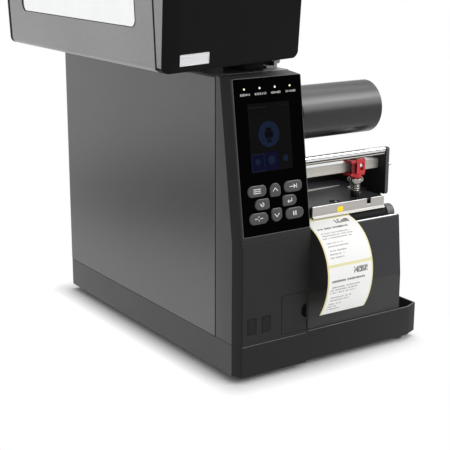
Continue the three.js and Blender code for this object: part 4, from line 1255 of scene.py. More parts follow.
@dataclass
class Studio:
    """Floor, world, lamps and camera."""

    lens: float = 89.1
    sensor: float = 36.0
    eye: Point3 = (-0.69459, -1.06879, 0.46338)
    yaw: float = 33.671
    pitch: float = 15.107
    roll: float = 0.164
    sight: Point2 = (0.05, 50.0)
    floor_size: float = 14.0
    floor_depth: float = -0.0003
    floor_tone: float = 0.9
    tray_half: Point2 = (128.0, 192.7)
    fade_reach: float = 0.027
    # A painted dark patch on the floor, seen only in gloss: its middle in millimetres, its core
    # and reach in metres.
    card: Point2 = (-690.0, 740.0)
    card_core: float = 0.3
    card_reach: float = 0.55
    world_light: float = 0.42
    shown: float = 1.0
    softboxes: tuple[Softbox, ...] = (
        Softbox("softbox_left", (-0.55, 0.34, 0.03), (-0.13, 0.14, 0.03), 0.55, 0.1, 0.6,
                mirrored=False),
        Softbox("softbox_right", (1.3, -1.7, 1.35), (0.0, -0.1, 0.2), 1.6, 1.4, 30.0),
        Softbox("softbox_top", (0.5, 0.3, 2.3), (0.0, 0.0, 0.2), 2.2, 2.2, 40.0),
        Softbox("softbox_gloss", (0.826, -0.792, 1.242), (0.077, -0.12, 0.268), 0.9, 0.65,
                11.5, lighting=False))

    def build(self) -> None:
        """Builds the whole studio."""
        self._floor()
        self._world()
        for softbox in self.softboxes:
            softbox.hang()
        self._camera()

    def _shown_rays(self, bench: Bench, seen: object = 1.0) -> Socket:
        """Returns the share of plain white for each kind of ray.

        Args:
            bench: The nodes.
            seen: The share for camera rays. Glossy and transmission rays have all of it.

        Returns:
            The share.
        """
        path = bench.add("ShaderNodeLightPath").outputs
        direct = bench.calc("MULTIPLY", path["Is Camera Ray"], seen)
        first = bench.calc("MAXIMUM", direct, path["Is Glossy Ray"])
        return bench.calc("MAXIMUM", first, path["Is Transmission Ray"])

    def _away(self, bench: Bench) -> Socket:
        """Returns the floor's share of plain white, which grows away from the tray.

        Args:
            bench: The floor's nodes.

        Returns:
            The share, from nothing beside the tray to one.
        """
        centre = machine(*self.tray_half, 0.0)
        source = bench.add("ShaderNodeTexCoord").outputs["Object"]
        place = bench.out("ShaderNodeMapping", {
            "Vector": source, "Location": (-centre.x, -centre.y, 0.0)})
        parts = bench.add("ShaderNodeSeparateXYZ", {0: place}).outputs
        beyond = [bench.calc("MAXIMUM", bench.calc("SUBTRACT", bench.calc("ABSOLUTE", part),
                                                   half * MILLI))
                  for part, half in zip(parts, self.tray_half)]
        flat = bench.out("ShaderNodeCombineXYZ", dict(enumerate(beyond)))
        reach = bench.add("ShaderNodeVectorMath", {0: flat}, operation="LENGTH").outputs[1]
        return bench.span(reach, start=0.0, stop=self.fade_reach)

    def _card(self, bench: Bench) -> Socket:
        """Returns a painted dark patch beside the machine, seen only in the floor's gloss.

        Args:
            bench: The floor's nodes.

        Returns:
            The share of dark, for rays from gloss that passed no clear sheet.
        """
        centre = machine(*self.card, 0.0)
        source = bench.add("ShaderNodeTexCoord").outputs["Object"]
        away = bench.add("ShaderNodeVectorMath", {0: source, 1: (centre.x, centre.y, 0.0)},
                         operation="DISTANCE").outputs[1]
        dark = bench.span(away, 1.0, 0.0, self.card_core, self.card_reach)
        path = bench.add("ShaderNodeLightPath").outputs
        glossy = bench.calc("SUBTRACT", path["Is Glossy Ray"], path["Is Transmission Ray"],
                            use_clamp=True)
        return bench.calc("MULTIPLY", dark, glossy)

    def _floor(self) -> None:
        """Lays a plain pale floor that keeps the object's shadow and has a painted dark patch in
        its gloss.
        """
        half, depth, tone = self.floor_size / 2, self.floor_depth, self.floor_tone
        mesh = bpy.data.meshes.new("floor")
        mesh.from_pydata([(-half, -half, depth), (half, -half, depth), (half, half, depth),
                          (-half, half, depth)], [], [(0, 1, 2, 3)])
        material = bpy.data.materials.new("floor_white")
        material.use_nodes = True
        bench = Bench(material.node_tree)
        bench.tree.nodes.clear()
        lit = bench.out("ShaderNodeBsdfDiffuse", {"Color": (*grey(tone), 1.0)})
        pale = bench.out("ShaderNodeEmission", {"Color": (*grey(1.0), 1.0),
                                                "Strength": self.shown})
        share = self._shown_rays(bench, self._away(bench))
        both = bench.out("ShaderNodeMixShader", {0: share, 1: lit, 2: pale})
        black = bench.out("ShaderNodeEmission", {"Strength": 0.0})
        shaded = bench.out("ShaderNodeMixShader", {0: self._card(bench), 1: both, 2: black})
        bench.add("ShaderNodeOutputMaterial", {0: shaded})
        mesh.materials.append(material)
        floor = linked("floor", mesh)

    def _world(self) -> None:
        """Shows white behind the object and lights it evenly at a lower level."""
        world = bpy.data.worlds.new("studio_white")
        world.use_nodes = True
        bench = Bench(world.node_tree)
        bench.tree.nodes.clear()
        soft, white = (bench.out("ShaderNodeBackground", {0: (*grey(1.0), 1.0), 1: light})
                       for light in (self.world_light, self.shown))
        both = bench.out("ShaderNodeMixShader", {0: self._shown_rays(bench), 1: soft,
                                                 2: white})
        bench.add("ShaderNodeOutputWorld", {0: both})
        bpy.context.scene.world = world

    def _camera(self) -> None:
        """Sets the camera at the photograph's viewpoint."""
        yaw, pitch, roll = (math.radians(v) for v in (self.yaw, self.pitch, self.roll))
        ahead = Vector((math.sin(yaw) * math.cos(pitch), math.cos(yaw) * math.cos(pitch),
                        -math.sin(pitch)))
        right = Vector((math.cos(yaw), -math.sin(yaw), 0.0))
        up = right.cross(ahead)
        turned = right * math.cos(roll) + up * math.sin(roll)
        upright = up * math.cos(roll) - right * math.sin(roll)
        data = bpy.data.cameras.new("camera")
        data.lens, data.sensor_width = self.lens, self.sensor
        data.clip_start, data.clip_end = self.sight
        camera = linked("camera", data)
        camera.matrix_world = Matrix((
            (turned.x, upright.x, -ahead.x, self.eye[0]),
            (turned.y, upright.y, -ahead.y, self.eye[1]),
            (turned.z, upright.z, -ahead.z, self.eye[2]), (0, 0, 0, 1)))
        bpy.context.scene.camera = camera
        bpy.context.scene.view_settings.view_transform = "Standard"


# Sub-assemblies

@dataclass
class Base:
    """Tray, feet, front box, tear bar and the rear side."""

    patterns: Patterns
    foot_radius: float = 11.0
    foot_height: float = 6.0
    foot_inset: float = 22.0
    foot_rim: float = 0.3
    tray_size: Point2 = (256.0, 385.4)
    tear_bar_ends: Point2 = (96.0, 223.0)
    tear_bar_outline: Outline = ((12.7, 143.5), (14.1, 143.5), (14.1, 144.4), (13.0, 144.4),
                                 (12.7, 144.1))
    tooth_outline: Outline = ((-0.1, 0.0), (0.6, 0.0), (0.1, 0.7))
    tooth_half: float = 0.35
    tooth_margin: float = 0.5
    tooth_foot: Point2 = (13.0, 144.3)
    teeth: int = 84
    rear: float = 383.0
    louvre: Outline = tuple(slab(-11.0, 11.0, -1.1, 1.1, 1.0, 6))
    louvre_depths: Point2 = (-0.2, 0.7)
    louvre_places: tuple[float, ...] = (28.0, 146.0, 176.0)
    louvre_low: float = 206.0
    louvre_pitch: float = 8.0
    louvre_rows: int = 7
    screw: Point2 = (3.0, 1.8)
    screw_places: Outline = ((9.0, 12.0), (9.0, 250.0), (80.0, 12.0), (130.0, 12.0),
                             (236.0, 12.0), (236.0, 160.0), (236.0, 296.0), (130.0, 302.0),
                             (60.0, 302.0))

    def build(self) -> None:
        """Builds and dresses every piece of the base."""
        # The tray's left and upward faces get its painted lit copy.
        dressed("base_tray", [TRAY_PLASTIC, TRAY_LIT_SIDE], 0.9, 3,
                [(LEFTWARD, 1, 0.99), (UP, 1, 0.99)])
        self._feet()
        # The box's upright front face gets its painted lit copy.
        dressed("front_box", [BOX_PLASTIC, BOX_LIT_FRONT], 1.2, 3, [(FRONTWARD, 1, 0.999)])
        self._tear_bar()
        for node, finish, edge in (("rear_panel", REAR_STEEL, 0.25),
                                   ("power_inlet", BLACK_PLASTIC, 0.4),
                                   ("power_switch", BLACK_PLASTIC, 0.5)):
            dressed(node, finish, edge)
        self._louvres()
        self.patterns.repeats.lay(
            "rear_screws", screw_head(*self.screw),
            [(machine(x, self.rear, z), REARWARD) for x, z in self.screw_places], STEEL,
            "base")

    def _feet(self) -> None:
        """Turns four rubber feet with a groove."""
        r, h, rim = self.foot_radius, self.foot_height, self.foot_rim
        foot = Form(local).lathe(Axis.Z, (0.0, 0.0), [
            (0.0, 0.0), (0.0, r - 1.6), (0.5, r - 0.8), (1.2, r - 0.5), (h * 0.55, r - 0.1),
            (h * 0.6, r - 0.5), (h * 0.68, r - 0.5), (h * 0.73, r), (h - rim, r),
            (h - rim, 0.0)], 64)
        width, depth = self.tray_size
        inset = self.foot_inset
        spots = [(machine(x, y, -h), UP)
                 for x in (inset, width - inset) for y in (inset, depth - inset)]
        self.patterns.repeats.lay("rubber_feet", foot, spots, RUBBER, "base",
                                  ["foot_front_left", "foot_front_right",
                                   "foot_rear_left", "foot_rear_right"])

    def _tear_bar(self) -> None:
        """Lays the low tear bar with its row of fine teeth."""
        left, right = self.tear_bar_ends
        Form().prism(Axis.X, self.tear_bar_outline, left, right).piece(
            "tear_bar_low", STEEL, "base", replaces=["tear_bar"])
        tooth = Form(local).prism(Axis.X, self.tooth_outline, -self.tooth_half,
                                  self.tooth_half)
        pitch = (right - left - 2 * self.tooth_margin) / (self.teeth - 1)
        spots = [(machine(left + self.tooth_margin + pitch * i, *self.tooth_foot), UP)
                 for i in range(self.teeth)]
        self.patterns.repeats.lay("tear_bar_teeth", tooth, spots, STEEL, "base")

    def _louvres(self) -> None:
        """Presses columns of cooling louvres into the rear panel."""
        louvre = Form(local).prism(Axis.Z, self.louvre, *self.louvre_depths)
        spots = [(machine(x, self.rear, self.louvre_low + self.louvre_pitch * row), REARWARD)
                 for x in self.louvre_places for row in range(self.louvre_rows)]
        self.patterns.repeats.lay("rear_louvres", louvre, spots, REAR_STEEL, "base")


@dataclass
class Housing:
    """Painted sheet over the electronics, folded with a soft bend."""

    low: float = 34.9
    top: float = 312.0
    right: float = 91.5
    front: float = 43.8
    rear: float = 385.4
    sheet: float = 1.6
    bend_radius: float = 3.2
    steps: int = 10
    port_sides: Point2 = (69.9, 84.9)
    port_heights: tuple[Point2, ...] = ((96.0, 112.0), (122.0, 152.0), (162.0, 180.0))
    port_rear: float = 383.0
    port_sunk: float = 0.4
    port_frame: float = 1.3
    frame_proud: float = 0.6
    tongue_half: float = 1.0
    tongue_inset: float = 3.4
    tongue_proud: float = 0.3

    def build(self) -> None:
        """Folds the sheet and dresses the wall and the parts inside."""
        Form().prism(Axis.Y, self._fold(), self.front, self.rear).piece(
            "housing_sheet", HOUSING_PAINT, "base", 0.3, replaces=["electronics_cover"])
        dressed("center_wall", WALL_STEEL, 0.3)
        dressed("main_board", [BOARD_GREEN, BLACK_PLASTIC], 0.2,
                marks=[(REARWARD, 1, 0.99)])
        self._ports()
        dressed("power_supply", STEEL, 0.8, 3)

    def _fold(self) -> list[Point2]:
        """Returns the folded sheet's outline, up its outer face and back inside.

        Returns:
            The outline in x and z.
        """
        r, small = self.bend_radius, self.bend_radius - self.sheet
        outer, inner = [(0.0, self.low)], []
        for i in range(self.steps + 1):
            angle = math.pi - math.pi / 2 * i / self.steps
            outer.append((r + r * math.cos(angle), self.top - r + r * math.sin(angle)))
            inner.append((r + small * math.cos(angle), self.top - r + small * math.sin(angle)))
        return [*outer, (self.right, self.top), (self.right, self.top - self.sheet),
                *inner[::-1], (self.sheet, self.low)]

    def _ports(self) -> None:
        """Frames the board's sockets in the rear panel and puts a tongue in each."""
        left, right = self.port_sides
        middle, wide = (left + right) / 2, self.port_frame
        sunk = self.port_rear - self.port_sunk
        form = Form()
        for low, high in self.port_heights:
            hole = slab(left + wide, right - wide, low + wide, high - wide, 0.5, 4)
            form.prism(Axis.Y, slab(left, right, low, high, 0.8, 4), sunk,
                       self.port_rear + self.frame_proud, [hole])
            tongue = slab(middle - self.tongue_half, middle + self.tongue_half,
                          low + self.tongue_inset, high - self.tongue_inset, 0.3, 3)
            form.prism(Axis.Y, tongue, sunk, self.port_rear + self.tongue_proud)
        form.piece("rear_port_shells", STEEL, "base", 0.1)


@dataclass(frozen=True)
class PrintedBlock:
    """A block of unreadable lines.

    Its middle is at x and up on the surface that it lies on. The lines are wide, and deep
    reaches from the first to the last one. Gaps is the share of the marks that is left out
    and ragged the most that a line falls short.
    """

    name: str
    x: float
    up: float
    wide: float
    deep: float
    letters: int
    lines: int
    mark: Point2
    gaps: float
    ragged: float
    seed: int
    finish: Finish
    lift: float = 0.03
    thick: float = 0.04

    def lay(self, tree: PrintedLines, place: Place) -> bpy.types.Object:
        """Prints the block.

        Args:
            tree: The tree that makes the marks.
            place: The surface.

        Returns:
            The piece.
        """
        mesh = tree.run({
            "Letters": self.letters, "Lines": self.lines, "Length": self.wide,
            "Depth": self.deep, "Mark": (*self.mark, self.thick), "Gaps": self.gaps,
            "Ragged": self.ragged, "Seed": self.seed, "Finish": self.finish.material()})
        for vertex in mesh.vertices:
            u, v, w = vertex.co
            vertex.co = place(self.x + u, self.up + v, self.lift + w)
        return settle(self.name, mesh, self.finish, "base")


# A label's printed blocks: places are up from its top edge, names leave room for its number,
# and seeds are the first label's
LABEL_BLOCKS = (
    PrintedBlock("label_bars_{}", 44.6, -6.6, 17.0, 4.8, 10, 4, (1.5, 1.7), 0.16, 0.0, 31, INK,
                 0.15),
    PrintedBlock("label_heading_{}", 27.8, -15.4, 43.0, 0.0, 24, 1, (1.4, 2.2), 0.1, 0.03, 41,
                 INK, 0.15),
    *(PrintedBlock(name, x, up, wide, deep, letters, lines, (0.95, 1.4), 0.16, ragged, seed,
                   PALE_INK, 0.15)
      for name, x, up, wide, deep, letters, lines, ragged, seed in (
          ("label_lines_{}a", 25.6, -25.2, 41.0, 6.4, 29, 3, 0.25, 51),
          ("label_lines_{}b", 22.8, -36.2, 31.0, 3.6, 22, 2, 0.3, 61),
          ("label_lines_{}c", 18.8, -46.6, 24.0, 7.4, 18, 3, 0.7, 71))))


@dataclass(frozen=True)
class Key:
    """One key of the panel, with the strokes of its mark about its middle."""

    name: str
    x: float
    up: float
    wide: float
    high: float
    corners: Sides
    marks: tuple[Outline, ...]
    line: float = 0.75

    def outline(self, grow: float) -> list[Point2]:
        """Returns the key's outline, made larger all round by grow.

        Args:
            grow: How much larger it is.

        Returns:
            The outline in x and up the slope.
        """
        return slab(self.x - self.wide / 2 - grow, self.x + self.wide / 2 + grow,
                    self.up - self.high / 2 - grow, self.up + self.high / 2 + grow,
                    [r + grow for r in self.corners])


# The back key's round arrow, then all keys with their places up the slope
TURN_BACK = tuple((1.9 * math.cos(angle), 1.9 * math.sin(angle) - 0.1) for angle in
                  (math.radians(200 + 250 * i / 10) for i in range(11)))

KEYS = (
    Key("menu", 26.8, 53.8, 22.9, 11.6, (5.6, 4.9, 4.4, 5.6),
        tuple(((-4.6, v), (4.6, v)) for v in (-2.0, 0.0, 2.0))),
    Key("up", 49.5, 52.7, 13.2, 14.0, (3.0, 3.0, 6.5, 6.5),
        (((-3.1, -1.4), (0.0, 1.9), (3.1, -1.4)),)),
    Key("feed", 72.2, 53.8, 22.9, 11.6, (5.6, 5.6, 4.4, 4.9),
        (((-4.6, 0.0), (2.4, 0.0)), ((0.6, 2.0), (3.0, 0.0), (0.6, -2.0)),
         ((4.6, 2.2), (4.6, -2.2)))),
    Key("back", 32.2, 39.8, 17.7, 11.2, (5.4, 2.6, 2.8, 5.4),
        (TURN_BACK, ((-2.9, 1.1), (-1.8, -0.9), (-0.2, 0.7)))),
    Key("enter", 66.8, 39.8, 17.7, 11.2, (2.6, 5.4, 5.4, 2.8),
        (((2.6, 2.3), (2.6, -1.0), (-1.6, -1.0)),
         ((-0.9, 0.5), (-2.4, -1.0), (-0.9, -2.5)))),
    Key("calibrate", 26.8, 25.8, 22.9, 11.6, (5.6, 5.0, 5.2, 5.0),
        (((-5.0, 0.0), (-1.4, 0.0)), ((1.4, 0.0), (5.0, 0.0)),
         ((0.0, 1.2), (0.0, 2.6)), ((0.0, -1.2), (0.0, -2.6)))),
    Key("down", 49.5, 26.9, 13.2, 14.0, (6.5, 6.5, 3.0, 3.0),
        (((-3.1, 1.4), (0.0, -1.9), (3.1, 1.4)),)),
    Key("pause", 72.2, 25.8, 22.9, 11.6, (5.2, 5.6, 5.4, 5.0),
        (((-1.4, -2.2), (-1.4, 2.2)), ((1.4, -2.2), (1.4, 2.2))), 1.3))


@dataclass
class Column:
    """Front column with its glossy panel, screen, lamps and keys."""

    patterns: Patterns
    left: float = 7.0
    right: float = 90.8
    low: float = 8.6
    high: float = 167.4
    thick: float = 2.0
    screen: Sides = (22.4, 74.9, 72.1, 142.1)
    rim_width: float = 0.5
    rim_heights: Point2 = (-0.3, 0.12)
    rim_overlap: float = 0.05
    proud: float = 0.8
    back: float = 4.0
    gap: float = 0.3
    crown: Outline = ((0.55, 0.0), (0.22, 0.16), (0.05, 0.5), (0.0, 1.1))
    print_heights: Point2 = (0.01, 0.06)
    lamp_places: tuple[float, ...] = (20.0, 39.0, 57.8, 76.5)
    lamp_up: float = 157.0
    lamp_profile: Outline = ((-0.3, 0.0), (-0.3, 1.0), (0.05, 1.0), (0.25, 0.7), (0.32, 0.0))
    green_lamps: tuple[int, ...] = (0, 3)
    caption_widths: tuple[float, ...] = (10.6, 13.0, 10.6, 11.2)
    caption_shift: Point2 = (0.8, -5.6)
    picture_depth: float = -0.17
    leaf: float = 0.02

    def build(self) -> None:
        """Builds and dresses every piece of the column."""
        # The bezel's left faces and top get the painted lit copies.
        dressed("front_bezel", [BEZEL_PLASTIC, BEZEL_LIT_SIDE, BEZEL_LIT_TOP], 0.8, 3,
                [(LEFTWARD, 1, 0.99), (UP, 2, 0.9)])
        self._panel()
        for key in KEYS:
            self._key(key)
        self._lamps()
        self._picture()
        for node, finish in (("lower_front_cover", BEZEL_PLASTIC), ("port_cover_1", RUBBER),
                             ("port_cover_2", RUBBER), ("service_door", BEZEL_PLASTIC)):
            dressed(node, finish, 0.5)
        # A black sheet in the door's finger scoop, painted as the shade inside it.
        scoop = [(88.5 + 7.1 * math.cos(a), 60.0 + 7.9 * math.sin(a)) for a in
                 (math.radians(90 + 180 * i / 24) for i in range(25))]
        Form().prism(Axis.Y, scoop, 1.15, 1.4).piece("service_door_scoop", CAP_SHADE,
                                                     "service_door")

    def _panel(self) -> None:
        """Builds the panel, its openings, a pale ring painted as its edge highlight, and the
        screen.
        """
        holes = [slab(*self.screen, 0.4, 3), *(key.outline(self.gap) for key in KEYS)]
        Form(on_slope).prism(Axis.Z, slab(self.left, self.right, self.low, self.high, 1.2),
                             -self.thick, 0.0, holes).piece(
            "display_panel_gloss", PANEL_GLOSS, "base", 0.35, 3,
            replaces=["display_panel"])
        # The ring round the panel stands for the highlight on its edge, painted pale.
        wide, lap = self.rim_width, self.rim_overlap
        rim = slab(self.left - wide, self.right + wide - lap, self.low - wide,
                   self.high + wide, 1.7)
        inside = slab(self.left - lap, self.right + lap, self.low - lap, self.high + lap, 1.2)
        Form(on_slope).prism(Axis.Z, rim, *self.rim_heights, [inside]).piece(
            "display_panel_rim", PANEL_EDGE_HIGHLIGHT, "base")
        dressed("display_screen", SCREEN_GLASS, 0.0)

    def _key(self, key: Key) -> None:
        """Builds one crowned key with its mark.

        Args:
            key: The key.
        """
        form = Form(on_slope)
        rings = [(-self.back, 0.0), *((self.proud - down, inward)
                                      for down, inward in self.crown)]
        form.band([[(u, v, w) for u, v in key.outline(-inward)] for w, inward in rings])
        # Faces turned up and to the right get the painted highlight.
        form.mark(Vector((0.55, -0.7, 0.45)), 2, 0.81)
        low, high = (self.proud + height for height in self.print_heights)
        for mark in key.marks:
            spots = [(key.x + u, key.up + v) for u, v in mark]
            form.prism(Axis.Z, stroke(spots, key.line), low, high, finish=1)
        form.piece(f"key_{key.name}_cap", [KEY_PLASTIC, KEY_PRINT, KEY_HIGHLIGHT], f"key_{key.name}",
                   bend=40.0, replaces=[f"key_{key.name}"])

    def _lamps(self) -> None:
        """Builds four lamps and the greyed lines under them."""
        green, white = Form(on_slope), Form(on_slope)
        for i, x in enumerate(self.lamp_places):
            target = green if i in self.green_lamps else white
            target.lathe(Axis.Z, (x, self.lamp_up), self.lamp_profile, 24)
        green.piece("lamps_green", LAMP_GREEN, "base")
        white.piece("lamps_white", LAMP_WHITE, "base")
        across, down = self.caption_shift
        for i, (x, wide) in enumerate(zip(self.lamp_places, self.caption_widths)):
            PrintedBlock(f"lamp_caption_{i + 1}", x + across, self.lamp_up + down, wide, 0.0,
                         7, 1, (0.9, 2.1), 0.0, 0.0, 11 + i, CAPTION_PRINT).lay(
                self.patterns.lines, on_slope)

    def _picture(self) -> None:
        """Draws the screen's picture: a disc with a plain sign, three tiles, a top line."""
        left, right, low, high = self.screen
        form = Form(on_slope)
        leaves = (
            (circle(46.8, 110.1, 13.1), Tone.BLUE, 0.0),
            (slab(41.6, 52.0, 106.6, 113.0, 0.8, 3), Tone.DARK, 0.025),
            (slab(43.4, 50.2, 113.3, 116.6, 0.5, 3), Tone.DARK, 0.025),
            (slab(44.2, 49.4, 101.6, 106.3, 0.4, 3), Tone.DARK, 0.025),
            (slab(45.1, 48.5, 103.0, 103.6), Tone.BLUE, 0.05),
            (slab(45.1, 48.5, 104.6, 105.2), Tone.BLUE, 0.05),
            (slab(left + 0.8, left + 17.0, low + 1.2, low + 19.0), Tone.PALE, 0.0),
            (slab(left + 1.5, left + 16.3, low + 1.9, low + 18.3), Tone.DEEP, 0.025),
            (slab(left + 17.8, left + 34.2, low + 1.0, low + 19.4), Tone.DEEP, 0.0),
            (circle(left + 8.6, low + 11.0, 3.4, 8), Tone.BLUE, 0.05),
            (circle(left + 26.0, low + 11.4, 4.4, 32), Tone.PALE, 0.05),
            (circle(left + 43.4, low + 11.8, 3.6, 6), Tone.BLUE, 0.05),
            (slab(left + 1.6, left + 23.0, high - 4.9, high - 3.7), Tone.GREY, 0.0),
            (slab(right - 8.6, right - 6.4, high - 5.0, high - 3.2), Tone.GREY, 0.0),
            (slab(right - 4.4, right - 2.6, high - 5.0, high - 3.2), Tone.GREY, 0.0))
        for outline, tone, lift in leaves:
            height = self.picture_depth + lift
            form.prism(Axis.Z, outline, height, height + self.leaf, finish=tone.value)
        form.piece("screen_picture", PICTURE, "base")

@dataclass
class LabelPath:
    """The centre line of the label strip, from its end over the nip to the roll."""

    end: Point2 = (-12.0, 55.6)
    exit: Point2 = (14.0, 150.3)
    nip: Point2 = (23.0, 153.4)
    level_end: float = 125.0
    roll: Point2 = (285.0, 94.7)
    upper: Point2 = (-40.0, -10.3)
    lower: Point2 = (-24.0, 36.4)
    steps: int = 48

    def _bezier(self, a: Point2, b: Point2, c: Point2, d: Point2) -> list[Point2]:
        """Returns points of a cubic curve.

        Args:
            a: Where it starts.
            b: The point that it leaves towards.
            c: The point that it arrives from.
            d: Where it ends.

        Returns:
            The points, with both ends.
        """
        points = []
        for i in range(self.steps + 1):
            t = i / self.steps
            k = ((1 - t) ** 3, 3 * t * (1 - t) ** 2, 3 * t * t * (1 - t), t ** 3)
            points.append(tuple(sum(w * p[axis] for w, p in zip(k, (a, b, c, d)))
                                for axis in range(2)))
        return points

    def points(self) -> list[Point2]:
        """Returns the whole line as y and z, from the strip's free end to the roll.

        Returns:
            The line's points.
        """
        middle = (self.level_end + self.roll[0]) / 2
        front = self._bezier(self.end, (self.end[0] + self.lower[0],
                                        self.end[1] + self.lower[1]),
                             (self.exit[0] + self.upper[0], self.exit[1] + self.upper[1]),
                             self.exit)
        rear = self._bezier((self.level_end, self.nip[1]), (middle, self.nip[1]),
                            (middle, self.roll[1]), self.roll)
        return [*front, self.nip, *rear]

    def surface(self, left: float) -> Place:
        """Returns a place for print on the strip's outer face.

        Args:
            left: The strip's left edge.

        Returns:
            The place, which takes millimetres across, along from the free end and outwards.
        """
        spots = self.points()
        runs = [0.0]
        for a, b in zip(spots, spots[1:]):
            runs.append(runs[-1] + math.dist(a, b))

        def place(x: float, along: float, lift: float) -> Vector:
            """Returns the point of the strip's outer face.

            Args:
                x: Millimetres from the strip's left edge.
                along: Millimetres from its free end.
                lift: Millimetres off its face.

            Returns:
                The point in metres.
            """
            i = max(k for k, run in enumerate(runs[:-1]) if run <= max(0.0, along))
            (y0, z0), (y1, z1) = spots[i], spots[i + 1]
            share = (along - runs[i]) / (runs[i + 1] - runs[i])
            way = Vector((y1 - y0, z1 - z0)).normalized()
            y, z = y0 + (y1 - y0) * share, z0 + (z1 - z0) * share
            return machine(left + x, y - way.y * lift, z + way.x * lift)

        return place


@dataclass
class MediaSide:
    """Labels, roll, hanger, guide and platen."""

    patterns: Patterns
    left: float = 96.5
    wide: float = 61.5
    thick: float = 0.4
    face: float = 0.02
    label_margin: float = 1.6
    label_starts: tuple[float, ...] = (0.3, 60.6)
    label_length: float = 57.4
    label_thick: float = 0.12
    label_corner: float = 1.2
    label_steps: int = 32
    roll_radius: float = 70.0
    roll_round: Point2 = (0.4, 0.5)
    core_radius: float = 20.0
    core_wall: float = 2.5
    core_inset: float = 0.2
    hanger_axis: Point2 = (285.0, 177.0)
    hanger: Outline = (
        (91.8, 0.0), (91.8, 15.4), (92.4, 16.0), (94.3, 16.0), (94.8, 15.5), (94.8, 9.4),
        (96.2, 8.0), (211.0, 8.0), (212.0, 8.6), (212.0, 10.4), (212.6, 11.0),
        (214.4, 11.0), (215.0, 10.4), (215.0, 4.0), (214.2, 3.4), (214.2, 0.0))
    platen: Outline = ((96.5, 4.0), (96.5, 7.4), (97.1, 8.0), (211.4, 8.0), (212.0, 7.4),
                       (212.0, 4.0))
    shaft: Outline = ((78.0, 0.0), (78.0, 3.6), (78.4, 4.0), (220.1, 4.0), (220.5, 3.6),
                      (220.5, 0.0))
    motor_axis: Point2 = (70.0, 60.0)
    belt_place: float = 82.0
    pulley_tooth: Point3 = (0.0007, 0.0015, 0.0056)
    path: LabelPath = field(default_factory=LabelPath)

    def build(self) -> None:
        """Builds and dresses every piece of the media side."""
        self._strip()
        self._labels()
        self._roll()
        dressed("media_guide", BEZEL_PLASTIC, 0.6, 3)
        Form().lathe(Axis.X, self.hanger_axis, self.hanger).piece(
            "media_hanger_turned", BLACK_PLASTIC, "base", bend=40.0,
            replaces=["media_hanger"])
        self._platen()
        self._pulley_teeth()

    def _strip(self) -> None:
        """Lays the liner along its path as one thin sheet."""
        spots = self.path.points()
        half, right = self.thick / 2, self.left + self.wide
        rows = []
        for i, (y, z) in enumerate(spots):
            before, after = spots[max(0, i - 1)], spots[min(len(spots) - 1, i + 1)]
            way = Vector((after[0] - before[0], after[1] - before[1])).normalized()
            rows.append([(x, y - way.y * side, z + way.x * side)
                         for x, side in ((self.left, -half), (right, -half),
                                         (right, self.face), (self.left, self.face))])
        Form().band(rows).piece("liner_strip", LINER, "base", bend=50.0,
                                replaces=["label_strip"])

    def _labels(self) -> None:
        """Sticks the printed labels on the liner in front of the tear bar."""
        place = self.path.surface(self.left)
        form = Form(place)
        for start in self.label_starts:
            rows = []
            for i in range(self.label_steps + 1):
                along = self.label_length * i / self.label_steps
                left, right = self._label_sides(min(along, self.label_length - along))
                rows.append([(left, start + along, 0.0), (right, start + along, 0.0),
                             (right, start + along, self.label_thick),
                             (left, start + along, self.label_thick)])
            form.band(rows)
        form.piece("printed_labels", PAPER, "base", bend=50.0)
        for i, start in enumerate(self.label_starts):
            top = start + self.label_length
            for block in LABEL_BLOCKS:
                replace(block, name=block.name.format(i + 1), up=top + block.up,
                        seed=block.seed + i).lay(self.patterns.lines, place)

    def _label_sides(self, run: float) -> Point2:
        """Returns a label's left and right side, which its round corners draw inwards.

        Args:
            run: Distance from the label's nearer end.

        Returns:
            Both sides, from the liner's left edge.
        """
        corner = self.label_corner
        inward = corner - math.sqrt(max(0.0, corner ** 2 - max(0.0, corner - run) ** 2))
        return self.label_margin + inward, self.wide - self.label_margin - inward

    def _roll(self) -> None:
        """Winds the label roll on its core."""
        left, right = self.left, self.left + self.wide
        radius, core = self.roll_radius, self.core_radius
        wall = core + self.core_wall
        along, off = self.roll_round
        inset = self.core_inset
        form = Form()
        form.lathe(Axis.X, ROLL_AXIS, [
            (left + along, wall + 0.1), (left, wall + off), (left, radius - off),
            (left + along, radius), (right - along, radius), (right, radius - off),
            (right, wall + off), (right - along, wall + 0.1)], 128, True)
        form.lathe(Axis.X, ROLL_AXIS, [
            (left + inset, core), (left + inset, wall), (right - inset, wall),
            (right - inset, core)], 96, True, finish=1)
        form.piece("label_roll_wound", [PAPER_ROLL, CORE_CARD], "label_roll",
                   replaces=["label_roll"])

    def _platen(self) -> None:
        """Turns the platen and dresses its bearing, pulleys, belt and motor."""
        form = Form().lathe(Axis.X, PLATEN_AXIS, self.platen, 96, True)
        form.lathe(Axis.X, PLATEN_AXIS, self.shaft, 48, finish=1)
        form.piece("platen_roller_turned", [RUBBER, STEEL], "platen",
                   replaces=["platen_roller"])
        dressed("platen_bearing", BEARING_GREY, 0.8, 3)
        for node, finish, edge in (("platen_pulley", BLACK_PLASTIC, 0.2),
                                   ("motor_pulley", STEEL, 0.2), ("drive_belt", RUBBER, 0.2),
                                   ("stepper_motor", BLACK_STEEL, 0.6)):
            dressed(node, finish, edge)

    def _pulley_teeth(self) -> None:
        """Sets the teeth round both pulleys."""
        for name, body, axis, radius, count, finish in (
                ("platen_pulley_teeth", "platen", PLATEN_AXIS, 13.9, 28, BLACK_PLASTIC),
                ("motor_pulley_teeth", "motor_pulley", self.motor_axis, 8.9, 18, STEEL)):
            mesh = self.patterns.teeth.run({
                "Count": count, "Radius": radius * MILLI, "Tooth": self.pulley_tooth,
                "Turn": (0.0, math.pi / 2, 0.0), "Centre": machine(self.belt_place, *axis),
                "Finish": finish.material()})
            settle(name, mesh, finish, body)


